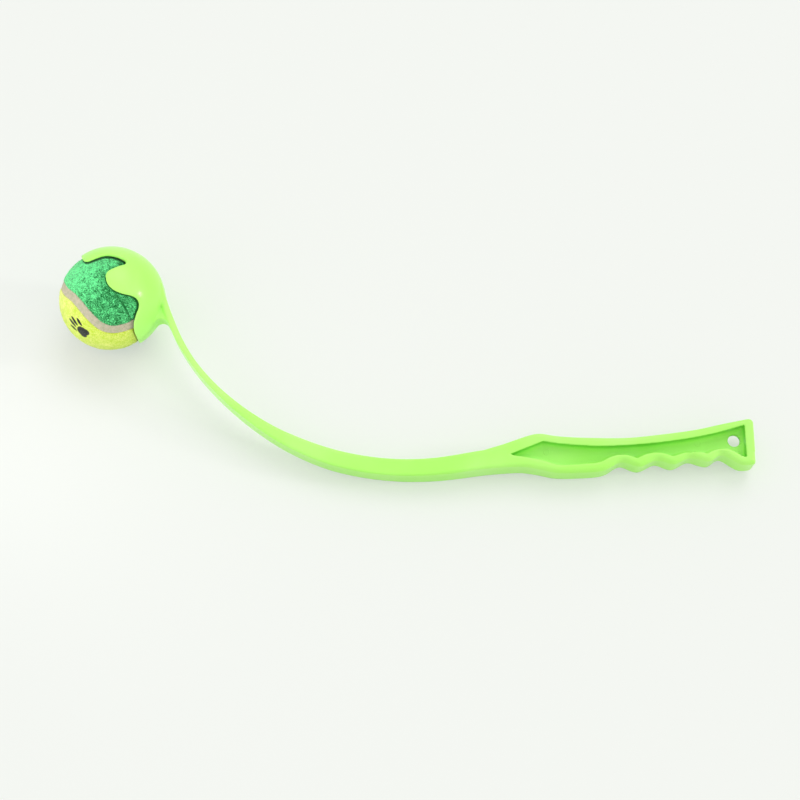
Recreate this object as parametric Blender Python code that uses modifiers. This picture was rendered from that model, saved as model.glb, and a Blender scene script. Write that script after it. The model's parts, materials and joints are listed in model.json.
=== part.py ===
"""Ball launcher for a dog: a scalloped cup on a springy arm, a grooved handle, and a felt ball.

Lengths are in metres. The launcher is drawn in its own plane: the ball's centre is the origin,
X runs along the handle, Y across it and Z square to the plane. At the end everything is laid
on its side, the way it lies on a table.
"""
import math

import bmesh
import bpy
from mathutils import Matrix, Vector

PART_NAME = "tennis_ball_launcher"

# Gap between solids that touch on the real object, and the overrun of cuts
TOUCH_GAP = 0.0003
OVERRUN = 0.004
# Corners closer together than this share of the gap are one corner
MERGE_SHARE = 1 / 30
# A corner that turns less than this is straight, and one that turns more is shaded sharp
STRAIGHT_ANGLE = math.radians(0.05)
SHARP_ANGLE = math.radians(50)

# Felt ball: two bonded rubber half shells, two felt panels and the seam between them
BALL_RADIUS = 0.0325
FELT_THICKNESS = 0.003
CORE_WALL = 0.0033
SEAM_WIDTH = 0.005
SEAM_RECESS = 0.0006
SEAM_WAVE_SHARE = 0.74
SEAM_TURN = (math.radians(98.3), math.radians(-38.5), math.radians(38.7))
SEAM_STEPS = 80
FELT_COLUMNS = 8
CORE_STEPS = 28
CORE_RINGS = 8

# Cup: a ball-shaped cavity in a slightly larger ball whose centre lies further back
BALL_CLEARANCE = 0.0006
CUP_TIP_WALL = 0.0014
CUP_BACK_SHIFT = 0.0025
OPENING_ANGLE = math.radians(214)
CUP_STEPS = 48
CUP_RINGS = 14
CUP_TURNED_REACH = math.radians(102)
# Half of the cup's rim, as degrees round the opening's axis from its edge by the arm, through the
# side finger at 97, to the lowest finger, and degrees from the middle of the cup's back
RIM_POINTS = (
    (0, 88.5), (25, 89.8), (46, 92), (55, 90), (57.2, 84), (57.8, 77.5), (58.6, 68), (64, 60),
    (70, 55), (77.5, 52), (82.8, 56), (83, 63), (83.2, 70), (84, 77.5), (88.5, 82.5),
    (97, 84.9), (106, 83), (114, 77.5), (121, 70.5), (127.5, 66.5), (133.5, 66.5), (138.7, 69.5),
    (144, 76.5), (151, 84), (162, 88.8), (180, 90.5),
)
RIM_STEPS = 2
RIM_CUTTER_OVERRUN = 0.012
CUTTER_RINGS = 7

# Arm: its centre line, as shares of its reach and drop from its root in the cup's back wall
ARM_REACH = 0.2124
ARM_DROP = 0.125
ARM_ROOT_ANGLE = math.radians(15)
ARM_PATH_SHARES = (
    (0, 0), (0.0146, 0.092), (0.0358, 0.188), (0.0725, 0.324), (0.1266, 0.464), (0.202, 0.605),
    (0.2985, 0.741), (0.409, 0.856), (0.548, 0.95), (0.698, 0.997), (0.842, 0.999), (1, 0.9616),
)
ARM_WIDTH = 0.016
ARM_DEPTH = 0.0124
# Thickness of the arm along its length, as shares of its depth at the handle
ARM_DEPTH_SHARES = (
    (0, 0.2), (0.05, 0.33), (0.14, 0.34), (0.22, 0.3), (0.33, 0.36), (0.45, 0.53),
    (0.55, 0.73), (0.65, 0.85), (0.85, 0.9), (1, 1),
)
ARM_EDGE_SHARE = 0.24
ARM_WIDENING_SHARE = 0.7
CUP_JOINT_SHARE = 0.137
ARM_SECTIONS = 44
ROOT_SECTIONS = 10
SECTION_CORNER_STEPS = 2
PATH_STEPS = 12

# Gusset: a web that fills the corner between the arm and the cup, ending in an arch
GUSSET_WIDTH = 0.012
ARCH_RADIUS = 0.0052
ARCH_STEPS = 10
ARCH_HALVINGS = 40

# Handle: outline in shares of its length and of its depth at the butt, from the arm's end
HANDLE_LENGTH = 0.1715
HANDLE_DEPTH = 0.03
HANDLE_WIDTH = 0.02
HANDLE_EDGE = 0.0018
HANDLE_EDGE_STEPS = 2
HANDLE_EDGE_ANGLE = math.radians(60)
BUTT_CORNER = 0.003
BUTT_CORNER_STEPS = 4
TOP_SHARES = (
    (0.0706, 0.34), (0.16, 0.52), (0.205, 0.563), (0.25, 0.525), (0.294, 0.497), (0.383, 0.473),
    (0.5277, 0.473), (0.658, 0.55), (0.782, 0.65), (0.891, 0.787), (1, 0.915),
)
# The lower edge: the swell in front of the hand, then four finger grooves and their ridges
LOWER_SHARES = (
    (0.075, -0.173), (0.14, -0.163), (0.2, -0.215), (0.262, -0.287), (0.345, -0.287),
    (0.437, -0.238), (0.504, -0.053), (0.571, -0.153), (0.636, -0.013), (0.6985, -0.1),
    (0.76, 0.04), (0.829, -0.037), (0.879, 0.097), (0.948, -0.107), (1, -0.1),
)
HANDLE_STEPS = 4
TOP_FLANGE = 0.0053
GRIP_FLANGE = 0.0044
END_WALL = 0.0058
WEB_THICKNESS = 0.003
RECESS_TIP_SHARE = 0.095
RECESS_TOP_FULL_SHARE = 0.22
RECESS_GRIP_FULL_SHARE = 0.3
RECESS_STEPS = 60
HOLE_RADIUS = 0.0039
HOLE_FROM_BUTT = 0.0116
HOLE_FROM_TOP = 0.0108
HOLE_STEPS = 32

# Densities in kg per cubic metre, which settle the side that the object lies on
PLASTIC_DENSITY = 905
RUBBER_DENSITY = 1150
FELT_DENSITY = 330
# How far the hull's face that it lies on looks away from the viewer, at the least: 1 is squarely
LYING_SHARE = 0.9

LIME = (0.36, 0.85, 0.14)
GREEN_FELT = (0.04, 0.55, 0.2)
YELLOW_FELT = (0.72, 0.95, 0.12)
SEAM_BEIGE = (0.5, 0.42, 0.34)
CORE_BLACK = (0.05, 0.05, 0.05)
GLOSSY = 0.3
MATT = 0.75
NAPPED = 0.95

CUP_RADIUS = BALL_RADIUS + BALL_CLEARANCE
CUP_OUTER_RADIUS = CUP_RADIUS + CUP_TIP_WALL
FELT_INNER_RADIUS = BALL_RADIUS - FELT_THICKNESS
CORE_RADIUS = FELT_INNER_RADIUS - TOUCH_GAP
OPENING = Vector((math.cos(OPENING_ANGLE), math.sin(OPENING_ANGLE), 0))
CUP_CENTRE = OPENING * -CUP_BACK_SHIFT


def clear_scene():
    """Remove every object that the scene starts with."""
    for obj in list(bpy.data.objects):
        bpy.data.objects.remove(obj)


def make_collection(name):
    """A collection linked to the scene."""
    collection = bpy.data.collections.new(name)
    bpy.context.scene.collection.children.link(collection)
    return collection


def make_material(name, colour, roughness):
    """A Principled material of one colour."""
    material = bpy.data.materials.new(name)
    material.use_nodes = True
    shader = material.node_tree.nodes["Principled BSDF"]
    shader.inputs["Base Color"].default_value = (*colour, 1)
    shader.inputs["Roughness"].default_value = roughness
    shader.inputs["Metallic"].default_value = 0
    return material


def add_object(name, mesh, collection):
    """An object for a mesh, in a collection."""
    obj = bpy.data.objects.new(name, mesh)
    collection.objects.link(obj)
    return obj


def mark_guide(obj):
    """Show a cutter or a piece to be joined as a wire, and leave it out of the model."""
    obj.hide_render = True
    obj.display_type = "WIRE"


def add_boolean(obj, other, operation):
    """Cut an object with another, or join the other to it."""
    modifier = obj.modifiers.new(other.name, "BOOLEAN")
    modifier.object = other
    modifier.operation = operation
    modifier.solver = "EXACT"


def shade_round(mesh):
    """Smooth shading, with sharp edges kept sharp."""
    mesh.shade_smooth()
    mesh.set_sharp_from_angle(angle=SHARP_ANGLE)


def smooth_line(points, steps):
    """Points on a Catmull-Rom curve through the given ones, with so many steps to a span."""
    knots = [Vector(point) for point in points]
    before = knots[0] * 2 - knots[1]
    after = knots[-1] * 2 - knots[-2]
    padded = [before] + knots + [after]
    line = []
    for a, b, c, d in zip(padded, padded[1:], padded[2:], padded[3:]):
        for step in range(steps):
            t = step / steps
            line.append((b * 2 + (c - a) * t + (a * 2 - b * 5 + c * 4 - d) * t ** 2
                         + (b * 3 - a - c * 3 + d) * t ** 3) / 2)
    line.append(knots[-1])
    return line


def read_line(line, x):
    """The second coordinate of a line of points at a given first coordinate."""
    for a, b in zip(line, line[1:]):
        if a[0] <= x <= b[0] and a[0] < b[0]:
            return a[1] + (b[1] - a[1]) * (x - a[0]) / (b[0] - a[0])
    return line[-1][1] if x > line[-1][0] else line[0][1]


def skin(name, rings, first=None, last=None, looped=False):
    """A closed mesh over rings of points; each end is a point, or a flat cap, or they meet."""
    bm = bmesh.new()
    loops = [[bm.verts.new(point) for point in ring] for ring in rings]
    pairs = list(zip(loops, loops[1:]))
    if looped:
        pairs.append((loops[-1], loops[0]))
    for lower, upper in pairs:
        for i in range(len(lower)):
            bm.faces.new((lower[i - 1], lower[i], upper[i], upper[i - 1]))
    if not looped:
        for loop, tip in ((loops[0], first), (loops[-1], last)):
            if tip is None:
                bm.faces.new(loop)
                continue
            point = bm.verts.new(tip)
            for i in range(len(loop)):
                bm.faces.new((loop[i - 1], loop[i], point))
    bmesh.ops.recalc_face_normals(bm, faces=bm.faces)
    mesh = bpy.data.meshes.new(name)
    bm.to_mesh(mesh)
    bm.free()
    return mesh


def plate(name, outline, half_thickness, collection):
    """A flat outline in the launcher's plane, given a thickness, as a mesh with plain caps."""
    curve = bpy.data.curves.new(name + "_outline", "CURVE")
    curve.dimensions = "2D"
    curve.fill_mode = "BOTH"
    curve.extrude = half_thickness
    spline = curve.splines.new("POLY")
    spline.points.add(len(outline) - 1)
    for target, point in zip(spline.points, outline):
        target.co = (point[0], point[1], 0, 1)
    spline.use_cyclic_u = True
    guide = add_object(name + "_outline", curve, collection)
    depsgraph = bpy.context.evaluated_depsgraph_get()
    mesh = bpy.data.meshes.new_from_object(guide.evaluated_get(depsgraph))
    bpy.data.objects.remove(guide)
    bm = bmesh.new()
    bm.from_mesh(mesh)
    bmesh.ops.remove_doubles(bm, verts=bm.verts, dist=TOUCH_GAP * MERGE_SHARE)
    bmesh.ops.dissolve_limit(bm, angle_limit=STRAIGHT_ANGLE, verts=bm.verts, edges=bm.edges)
    bmesh.ops.recalc_face_normals(bm, faces=bm.faces)
    bm.to_mesh(mesh)
    bm.free()
    return add_object(name, mesh, collection)


def cup_outer_radius(angle):
    """Distance from the ball's centre to the cup's outside, at an angle from the cup's back."""
    across = CUP_BACK_SHIFT * math.sin(angle)
    return CUP_BACK_SHIFT * math.cos(angle) + math.sqrt(CUP_OUTER_RADIUS ** 2 - across ** 2)


def cup_matrix():
    """Turn whose local Z points at the cup's back and local Y out of the launcher's plane."""
    back = -OPENING
    out = Vector((0, 0, 1))
    side = out.cross(back)
    return Matrix((side, out, back)).transposed().to_4x4()


def in_cup(reach, around, radius):
    """A point in the cup's own turn, from its angles and its distance to the ball's centre."""
    return Vector((math.sin(reach) * math.cos(around), math.sin(reach) * math.sin(around),
                   math.cos(reach))) * radius


def cup_shell(collection):
    """The cup before its fingers are cut: a turned wall, thickest at the back.

    It starts half a step round, so that no point of the rim lies on an edge of the wall.
    """
    start = math.pi / CUP_STEPS
    reaches = [CUP_TURNED_REACH * i / CUP_RINGS for i in range(CUP_RINGS + 1)]
    outside = [in_cup(reach, start, cup_outer_radius(reach)) for reach in reaches]
    inside = [in_cup(reach, start, CUP_RADIUS) for reach in reversed(reaches)]
    profile = outside + inside
    mesh = bpy.data.meshes.new("throwing_cup")
    mesh.from_pydata(profile, [(i, i + 1) for i in range(len(profile) - 1)], [])
    cup = add_object("throwing_cup", mesh, collection)
    screw = cup.modifiers.new("turn", "SCREW")
    screw.axis = "Z"
    screw.steps = CUP_STEPS
    screw.render_steps = CUP_STEPS
    screw.use_merge_vertices = True
    screw.merge_threshold = TOUCH_GAP * MERGE_SHARE
    screw.use_smooth_shade = True
    cup.matrix_world = cup_matrix()
    return cup


def finger_cutter(collection):
    """Everything on the open side of the scalloped rim, as a body about the ball's centre."""
    half = smooth_line(RIM_POINTS, RIM_STEPS)
    whole = half + [Vector((-around, reach)) for around, reach in reversed(half[1:-1])]
    radius = CUP_OUTER_RADIUS + RIM_CUTTER_OVERRUN
    rings = []
    for step in range(1, CUTTER_RINGS + 1):
        share = step / CUTTER_RINGS
        rings.append([in_cup(math.radians(180 + (reach - 180) * share), math.radians(around), radius)
                      for around, reach in whole])
    tip = in_cup(math.pi, 0, radius)
    cutter = add_object("finger_cutter", skin("finger_cutter", rings, tip, (0, 0, 0)), collection)
    cutter.matrix_world = cup_matrix()
    mark_guide(cutter)
    return cutter


def arm_line():
    """The arm's centre line, as points evenly spaced along it."""
    root_radius = (CUP_RADIUS + cup_outer_radius(OPENING_ANGLE - math.pi - ARM_ROOT_ANGLE)) / 2
    root = Vector((math.cos(ARM_ROOT_ANGLE), math.sin(ARM_ROOT_ANGLE))) * root_radius
    knots = [(root.x + along * ARM_REACH, root.y - down * ARM_DROP) for along, down in ARM_PATH_SHARES]
    return smooth_line(knots, PATH_STEPS)


def line_length(line):
    """Length of a line of points."""
    return sum((b - a).length for a, b in zip(line, line[1:]))


def arm_place(line, share):
    """Centre, direction, thickness and width of the arm at a share of its length."""
    left = share * line_length(line)
    for a, b in zip(line, line[1:]):
        span = (b - a).length
        if left <= span or b is line[-1]:
            break
        left -= span
    direction = (b - a).normalized()
    centre = a + direction * left
    depth = ARM_DEPTH * read_line(smooth_line(ARM_DEPTH_SHARES, PATH_STEPS), share)
    grown = min(max((share - ARM_WIDENING_SHARE) / (1 - ARM_WIDENING_SHARE), 0), 1)
    width = ARM_WIDTH + (HANDLE_WIDTH - ARM_WIDTH) * grown ** 2 * (3 - 2 * grown)
    return centre, direction, depth, width


def arm_section(centre, direction, depth, width):
    """A rounded rectangle square to the arm."""
    up = Vector((-direction.y, direction.x, 0))
    out = Vector((0, 0, 1))
    corner = ARM_EDGE_SHARE * depth
    ring = []
    for quarter in range(4):
        start = math.radians(90) * quarter
        across = (1, -1, -1, 1)[quarter]
        above = (1, 1, -1, -1)[quarter]
        for step in range(SECTION_CORNER_STEPS + 1):
            angle = start + math.radians(90) * step / SECTION_CORNER_STEPS
            z = across * (width / 2 - corner) + corner * math.cos(angle)
            y = above * (depth / 2 - corner) + corner * math.sin(angle)
            ring.append(Vector((centre.x, centre.y, 0)) + up * y + out * z)
    return ring


def arm_mesh(name, line, start, end, sections):
    """The length of the arm between two shares of it."""
    rings = []
    for i in range(sections + 1):
        share = start + (end - start) * i / sections
        rings.append(arm_section(*arm_place(line, share)))
    mesh = skin(name, rings)
    shade_round(mesh)
    return mesh


def arch_place(line):
    """Where the arch under the gusset touches the arm, and its centre, found by halving."""
    low = 0
    high = CUP_JOINT_SHARE
    for _ in range(ARCH_HALVINGS):
        share = (low + high) / 2
        centre, direction, depth, _ = arm_place(line, share)
        inward = Vector((direction.y, -direction.x))
        hub = centre + inward * (depth / 2 + ARCH_RADIUS)
        if (hub - CUP_CENTRE.xy).length < CUP_OUTER_RADIUS + ARCH_RADIUS:
            low = share
        else:
            high = share
    return share, hub


def gusset_outline(line):
    """Down the arm's centre line, round the arch, and back up inside the cup's wall."""
    share, hub = arch_place(line)
    steps = [share * i / ROOT_SECTIONS for i in range(ROOT_SECTIONS + 1)]
    outline = [arm_place(line, step)[0] for step in steps]
    to_arm = (outline[-1] - hub).normalized()
    to_cup = (CUP_CENTRE.xy - hub).normalized()
    first = math.atan2(to_arm.y, to_arm.x)
    turn = (math.atan2(to_cup.y, to_cup.x) - first) % (2 * math.pi)
    for i in range(ARCH_STEPS + 1):
        angle = first + turn * i / ARCH_STEPS
        outline.append(hub + Vector((math.cos(angle), math.sin(angle))) * ARCH_RADIUS)
    touch = outline[-1]
    lowest = math.atan2(touch.y, touch.x)
    for i in range(ARCH_STEPS):
        angle = lowest + (ARM_ROOT_ANGLE - lowest) * i / ARCH_STEPS
        from_back = OPENING_ANGLE - math.pi - angle
        radius = (CUP_RADIUS + cup_outer_radius(from_back)) / 2
        outline.append(Vector((math.cos(angle), math.sin(angle))) * radius)
    return outline


def make_cup(line, parts, guides):
    """The cup with its fingers, the gusset and the root of the arm, in one piece."""
    cup = cup_shell(parts)
    gusset = plate("gusset", gusset_outline(line), GUSSET_WIDTH / 2, guides)
    mark_guide(gusset)
    add_boolean(cup, gusset, "UNION")
    root = add_object("arm_root", arm_mesh("arm_root", line, 0, CUP_JOINT_SHARE, ROOT_SECTIONS), guides)
    mark_guide(root)
    add_boolean(cup, root, "UNION")
    add_boolean(cup, finger_cutter(guides), "DIFFERENCE")
    cup.data.materials.append(make_material("lime_cup", LIME, GLOSSY))
    return cup


def make_arm(line, parts):
    """The springy arm between the cup and the handle."""
    gap = TOUCH_GAP / line_length(line)
    mesh = arm_mesh("whip_arm", line, CUP_JOINT_SHARE + gap, 1 - gap, ARM_SECTIONS)
    arm = add_object("whip_arm", mesh, parts)
    arm.data.materials.append(make_material("lime_arm", LIME, GLOSSY))
    return arm


def handle_edges(line):
    """The handle's upper and lower edges, from the arm's end to the butt."""
    centre, direction, depth, _ = arm_place(line, 1)
    up = Vector((-direction.y, direction.x))
    scaled = []
    for shares, side in ((TOP_SHARES, 1), (LOWER_SHARES, -1)):
        start = centre + up * side * depth / 2
        knots = [start] + [Vector((centre.x + along * HANDLE_LENGTH, centre.y + above * HANDLE_DEPTH))
                           for along, above in shares]
        scaled.append(smooth_line(knots, HANDLE_STEPS))
    return scaled


def butt_corner(edge, side):
    """The arc that turns an edge of the handle, above (1) or below (-1), into its flat butt."""
    slope = math.atan2(edge[-1].y - edge[-2].y, edge[-1].x - edge[-2].x)
    above = BUTT_CORNER * math.tan(slope) + side * BUTT_CORNER / math.cos(slope)
    hub = Vector((edge[-1].x - BUTT_CORNER, edge[-1].y - above))
    arc = []
    for step in range(BUTT_CORNER_STEPS + 1):
        angle = (side * math.pi / 2 + slope) * (1 - step / BUTT_CORNER_STEPS)
        arc.append(hub + Vector((math.cos(angle), math.sin(angle))) * BUTT_CORNER)
    return arc


def handle_outline(upper, lower):
    """The whole outline of the handle, from its front over the butt and back."""
    outline = []
    for edge, side in ((upper, 1), (lower, -1)):
        arc = butt_corner(edge, side)
        limit = arc[0].x - BUTT_CORNER / 2
        run = [point for point in edge if point.x < limit] + arc
        outline += run if side > 0 else reversed(run)
    return outline


def flange_depth(x, tip, full, tip_depth, flange):
    """Depth of a flange: it widens to the recess's tip, from where the recess is full."""
    closing = min(max((full - x) / (full - tip), 0), 1)
    return flange + (tip_depth - flange) * closing


def recess_outline(upper, lower):
    """The recess in each side of the handle: it keeps a flange along both edges."""
    front = upper[0].x
    tip = front + RECESS_TIP_SHARE * HANDLE_LENGTH
    top_full = front + RECESS_TOP_FULL_SHARE * HANDLE_LENGTH
    grip_full = front + RECESS_GRIP_FULL_SHARE * HANDLE_LENGTH
    end = upper[-1].x - END_WALL
    tip_depth = (read_line(upper, tip) - read_line(lower, tip)) / 2
    top, bottom = [], []
    for step in range(RECESS_STEPS + 1):
        x = tip + (end - tip) * step / RECESS_STEPS
        under_top = flange_depth(x, tip, top_full, tip_depth, TOP_FLANGE)
        over_grip = flange_depth(x, tip, grip_full, tip_depth, GRIP_FLANGE)
        top.append(Vector((x, read_line(upper, x) - under_top)))
        bottom.append(Vector((x, read_line(lower, x) + over_grip)))
    return top + list(reversed(bottom[1:]))


def hang_hole(upper, guides):
    """The drill for the hole that the launcher hangs by."""
    x = upper[-1].x - HOLE_FROM_BUTT
    y = read_line(upper, x) - HOLE_FROM_TOP
    bm = bmesh.new()
    bmesh.ops.create_cone(bm, cap_ends=True, segments=HOLE_STEPS, radius1=HOLE_RADIUS,
                          radius2=HOLE_RADIUS, depth=WEB_THICKNESS + OVERRUN * 2,
                          matrix=Matrix.Translation((x, y, 0)))
    mesh = bpy.data.meshes.new("hang_hole_drill")
    bm.to_mesh(mesh)
    bm.free()
    drill = add_object("hang_hole_drill", mesh, guides)
    mark_guide(drill)
    return drill


def make_handle(line, parts, guides):
    """The handle: a flanged beam with finger grooves, a recess on each side and a hanging hole."""
    upper, lower = handle_edges(line)
    handle = plate("grip_handle", handle_outline(upper, lower), HANDLE_WIDTH / 2, parts)
    bevel = handle.modifiers.new("round_edges", "BEVEL")
    bevel.width = HANDLE_EDGE
    bevel.segments = HANDLE_EDGE_STEPS
    bevel.limit_method = "ANGLE"
    bevel.angle_limit = HANDLE_EDGE_ANGLE
    depth = HANDLE_WIDTH / 2 + OVERRUN - WEB_THICKNESS / 2
    for name, side in (("near_recess", 1), ("far_recess", -1)):
        cutter = plate(name, recess_outline(upper, lower), depth / 2, guides)
        cutter.location.z = side * (WEB_THICKNESS / 2 + depth / 2)
        mark_guide(cutter)
        add_boolean(handle, cutter, "DIFFERENCE")
    add_boolean(handle, hang_hole(upper, guides), "DIFFERENCE")
    shade_round(handle.data)
    handle.data.materials.append(make_material("lime_handle", LIME, GLOSSY))
    return handle


def seam_direction(t, aside):
    """Direction from the ball's centre to the seam, or to a line beside it by an angle."""
    a = SEAM_WAVE_SHARE
    b = 1 - a
    c = 2 * math.sqrt(a * b)
    on_seam = Vector((a * math.cos(t) + b * math.cos(3 * t), a * math.sin(t) - b * math.sin(3 * t),
                      c * math.sin(2 * t)))
    along = Vector((-a * math.sin(t) - 3 * b * math.sin(3 * t), a * math.cos(t) - 3 * b * math.cos(3 * t),
                    2 * c * math.cos(2 * t)))
    beside = on_seam.cross(along).normalized()
    return on_seam * math.cos(aside) + beside * math.sin(aside)


def felt_mesh():
    """One dog-bone felt panel: arcs across it from one side of the seam to the other."""
    aside = (SEAM_WIDTH / 2 + TOUCH_GAP) / BALL_RADIUS
    first, last = 1, SEAM_STEPS - 1
    rings = []
    for step in [first] + list(range(first + 1, last, 2)) + [last]:
        t = -math.pi / 4 + math.pi * step / SEAM_STEPS
        edge = seam_direction(t, aside)
        other = Vector((-edge.y, -edge.x, edge.z))
        arc = [edge.slerp(other, column / FELT_COLUMNS) for column in range(FELT_COLUMNS + 1)]
        rings.append([point * BALL_RADIUS for point in arc]
                     + [point * FELT_INNER_RADIUS for point in reversed(arc)])
    mesh = skin("felt_panel", rings)
    shade_round(mesh)
    return mesh


def make_felts(parts):
    """The two alike felt panels, the second turned over to fill what the first leaves."""
    mesh = felt_mesh()
    turn = seam_matrix()
    yellow = add_object("yellow_felt_panel", mesh, parts)
    yellow.matrix_world = turn
    yellow.data.materials.append(make_material("yellow_felt", YELLOW_FELT, NAPPED))
    green = add_object("green_felt_panel", mesh.copy(), parts)
    green.matrix_world = turn @ Matrix.Rotation(math.pi, 4, "X")
    green.data.materials[0] = make_material("green_felt", GREEN_FELT, NAPPED)
    return [green, yellow]


def seam_matrix():
    """How the ball lies in the cup."""
    about_x, about_y, about_z = SEAM_TURN
    return (Matrix.Rotation(about_z, 4, "Z") @ Matrix.Rotation(about_y, 4, "Y")
            @ Matrix.Rotation(about_x, 4, "X"))


def make_seam(parts):
    """The band of rubber cement that shows between the felt panels."""
    half = SEAM_WIDTH / 2 / BALL_RADIUS
    outer = BALL_RADIUS - SEAM_RECESS
    rings = []
    for step in range(SEAM_STEPS):
        t = -math.pi / 4 + 2 * math.pi * step / SEAM_STEPS
        left = seam_direction(t, half)
        right = seam_direction(t, -half)
        rings.append([left * outer, right * outer, right * FELT_INNER_RADIUS, left * FELT_INNER_RADIUS])
    mesh = skin("seam_band", rings, looped=True)
    shade_round(mesh)
    seam = add_object("seam_band", mesh, parts)
    seam.matrix_world = seam_matrix()
    seam.data.materials.append(make_material("seam_cement", SEAM_BEIGE, MATT))
    return seam


def make_core_half(name, turn, parts):
    """Half of the hollow rubber core, turned from its wall's outline."""
    edge = math.asin(TOUCH_GAP / 2 / CORE_RADIUS)
    inner_radius = CORE_RADIUS - CORE_WALL
    inner_edge = math.asin(TOUCH_GAP / 2 / inner_radius)
    profile = []
    for i in range(CORE_RINGS + 1):
        angle = math.pi / 2 + (edge - math.pi / 2) * i / CORE_RINGS
        profile.append(Vector((math.cos(angle), 0, math.sin(angle))) * CORE_RADIUS)
    for i in range(CORE_RINGS + 1):
        angle = inner_edge + (math.pi / 2 - inner_edge) * i / CORE_RINGS
        profile.append(Vector((math.cos(angle), 0, math.sin(angle))) * inner_radius)
    mesh = bpy.data.meshes.new(name)
    mesh.from_pydata(profile, [(i, i + 1) for i in range(len(profile) - 1)], [])
    half = add_object(name, mesh, parts)
    screw = half.modifiers.new("turn", "SCREW")
    screw.axis = "Z"
    screw.steps = CORE_STEPS
    screw.render_steps = CORE_STEPS
    screw.use_merge_vertices = True
    screw.merge_threshold = TOUCH_GAP * MERGE_SHARE
    screw.use_smooth_shade = True
    half.matrix_world = seam_matrix() @ Matrix.Rotation(turn, 4, "X")
    half.data.materials.append(make_material(name + "_rubber", CORE_BLACK, MATT))
    return half


def make_ball(parts):
    """The felt ball, centred on the origin, where its slide out of the cup starts."""
    pieces = make_felts(parts)
    pieces.append(make_seam(parts))
    pieces.append(make_core_half("core_half_front", 0, parts))
    pieces.append(make_core_half("core_half_back", math.pi, parts))
    return pieces


def read_solids(objects):
    """Every corner of the finished solids, and their centre of mass."""
    depsgraph = bpy.context.evaluated_depsgraph_get()
    corners = []
    weighted = Vector()
    total = 0
    for obj, density in objects:
        bm = bmesh.new()
        bm.from_object(obj, depsgraph)
        bm.transform(obj.matrix_world)
        bmesh.ops.triangulate(bm, faces=bm.faces)
        corners += [vert.co.copy() for vert in bm.verts]
        for face in bm.faces:
            a, b, c = (vert.co for vert in face.verts)
            mass = a.dot(b.cross(c)) / 6 * density
            weighted += (a + b + c) / 4 * mass
            total += mass
        bm.free()
    return corners, weighted / total


def resting_up(corners, centre_of_mass):
    """The upward direction when the object lies on its far side.

    It rests on the face of its convex hull that the centre of mass stands over.
    """
    hull = bmesh.new()
    for corner in corners:
        hull.verts.new(corner)
    bmesh.ops.convex_hull(hull, input=hull.verts)
    best = None
    for face in hull.faces:
        down = face.normal
        if -down.z < LYING_SHARE:
            continue
        loop = [vert.co for vert in face.verts]
        inside = min((b - a).cross(centre_of_mass - a).dot(down)
                     for a, b in zip(loop, loop[1:] + loop[:1]))
        if best is None or inside / face.calc_area() > best[0]:
            best = (inside / face.calc_area(), -down.copy())
    hull.free()
    return best[1]


def lay_down(objects, parts):
    """Put everything under one empty that lays it on the table, over the world's origin."""
    corners, centre_of_mass = read_solids(objects)
    up = resting_up(corners, centre_of_mass)
    along = (Vector((1, 0, 0)) - up * up.x).normalized()
    turn = Matrix((along, up.cross(along), up))
    turned = [turn @ corner for corner in corners]
    low = [min(corner[axis] for corner in turned) for axis in range(3)]
    high = [max(corner[axis] for corner in turned) for axis in range(3)]
    root = bpy.data.objects.new("laid_on_its_side", None)
    parts.objects.link(root)
    root.matrix_world = (Matrix.Translation((-(low[0] + high[0]) / 2, -(low[1] + high[1]) / 2, -low[2]))
                         @ turn.to_4x4())
    for obj, _ in objects:
        obj.parent = root
    return root


def build():
    """Make the launcher and its ball."""
    clear_scene()
    parts = make_collection(PART_NAME)
    guides = make_collection("cutters")
    line = arm_line()
    launcher = [make_cup(line, parts, guides), make_arm(line, parts), make_handle(line, parts, guides)]
    ball = make_ball(parts)
    weighed = [(obj, PLASTIC_DENSITY) for obj in launcher]
    weighed += [(obj, FELT_DENSITY) for obj in ball[:2]]
    weighed += [(obj, RUBBER_DENSITY) for obj in ball[2:]]
    bpy.context.view_layer.update()
    root = lay_down(weighed, parts)
    for guide in guides.objects:
        guide.parent = root


build()
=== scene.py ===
# %% [markdown]
# # A ball launcher for a dog
# The launcher is one moulding in lime polypropylene: a scalloped cup, a springy arm and a
# grooved handle. A felt ball sits in the cup. The CAD frame gives the places and sizes, and this
# notebook gives each piece its fine surface and its finish. Lengths are in metres.

# %% Load the frame
import json
import math

import bmesh
import bpy
import numpy as np
from mathutils import Matrix, Vector, noise

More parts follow.
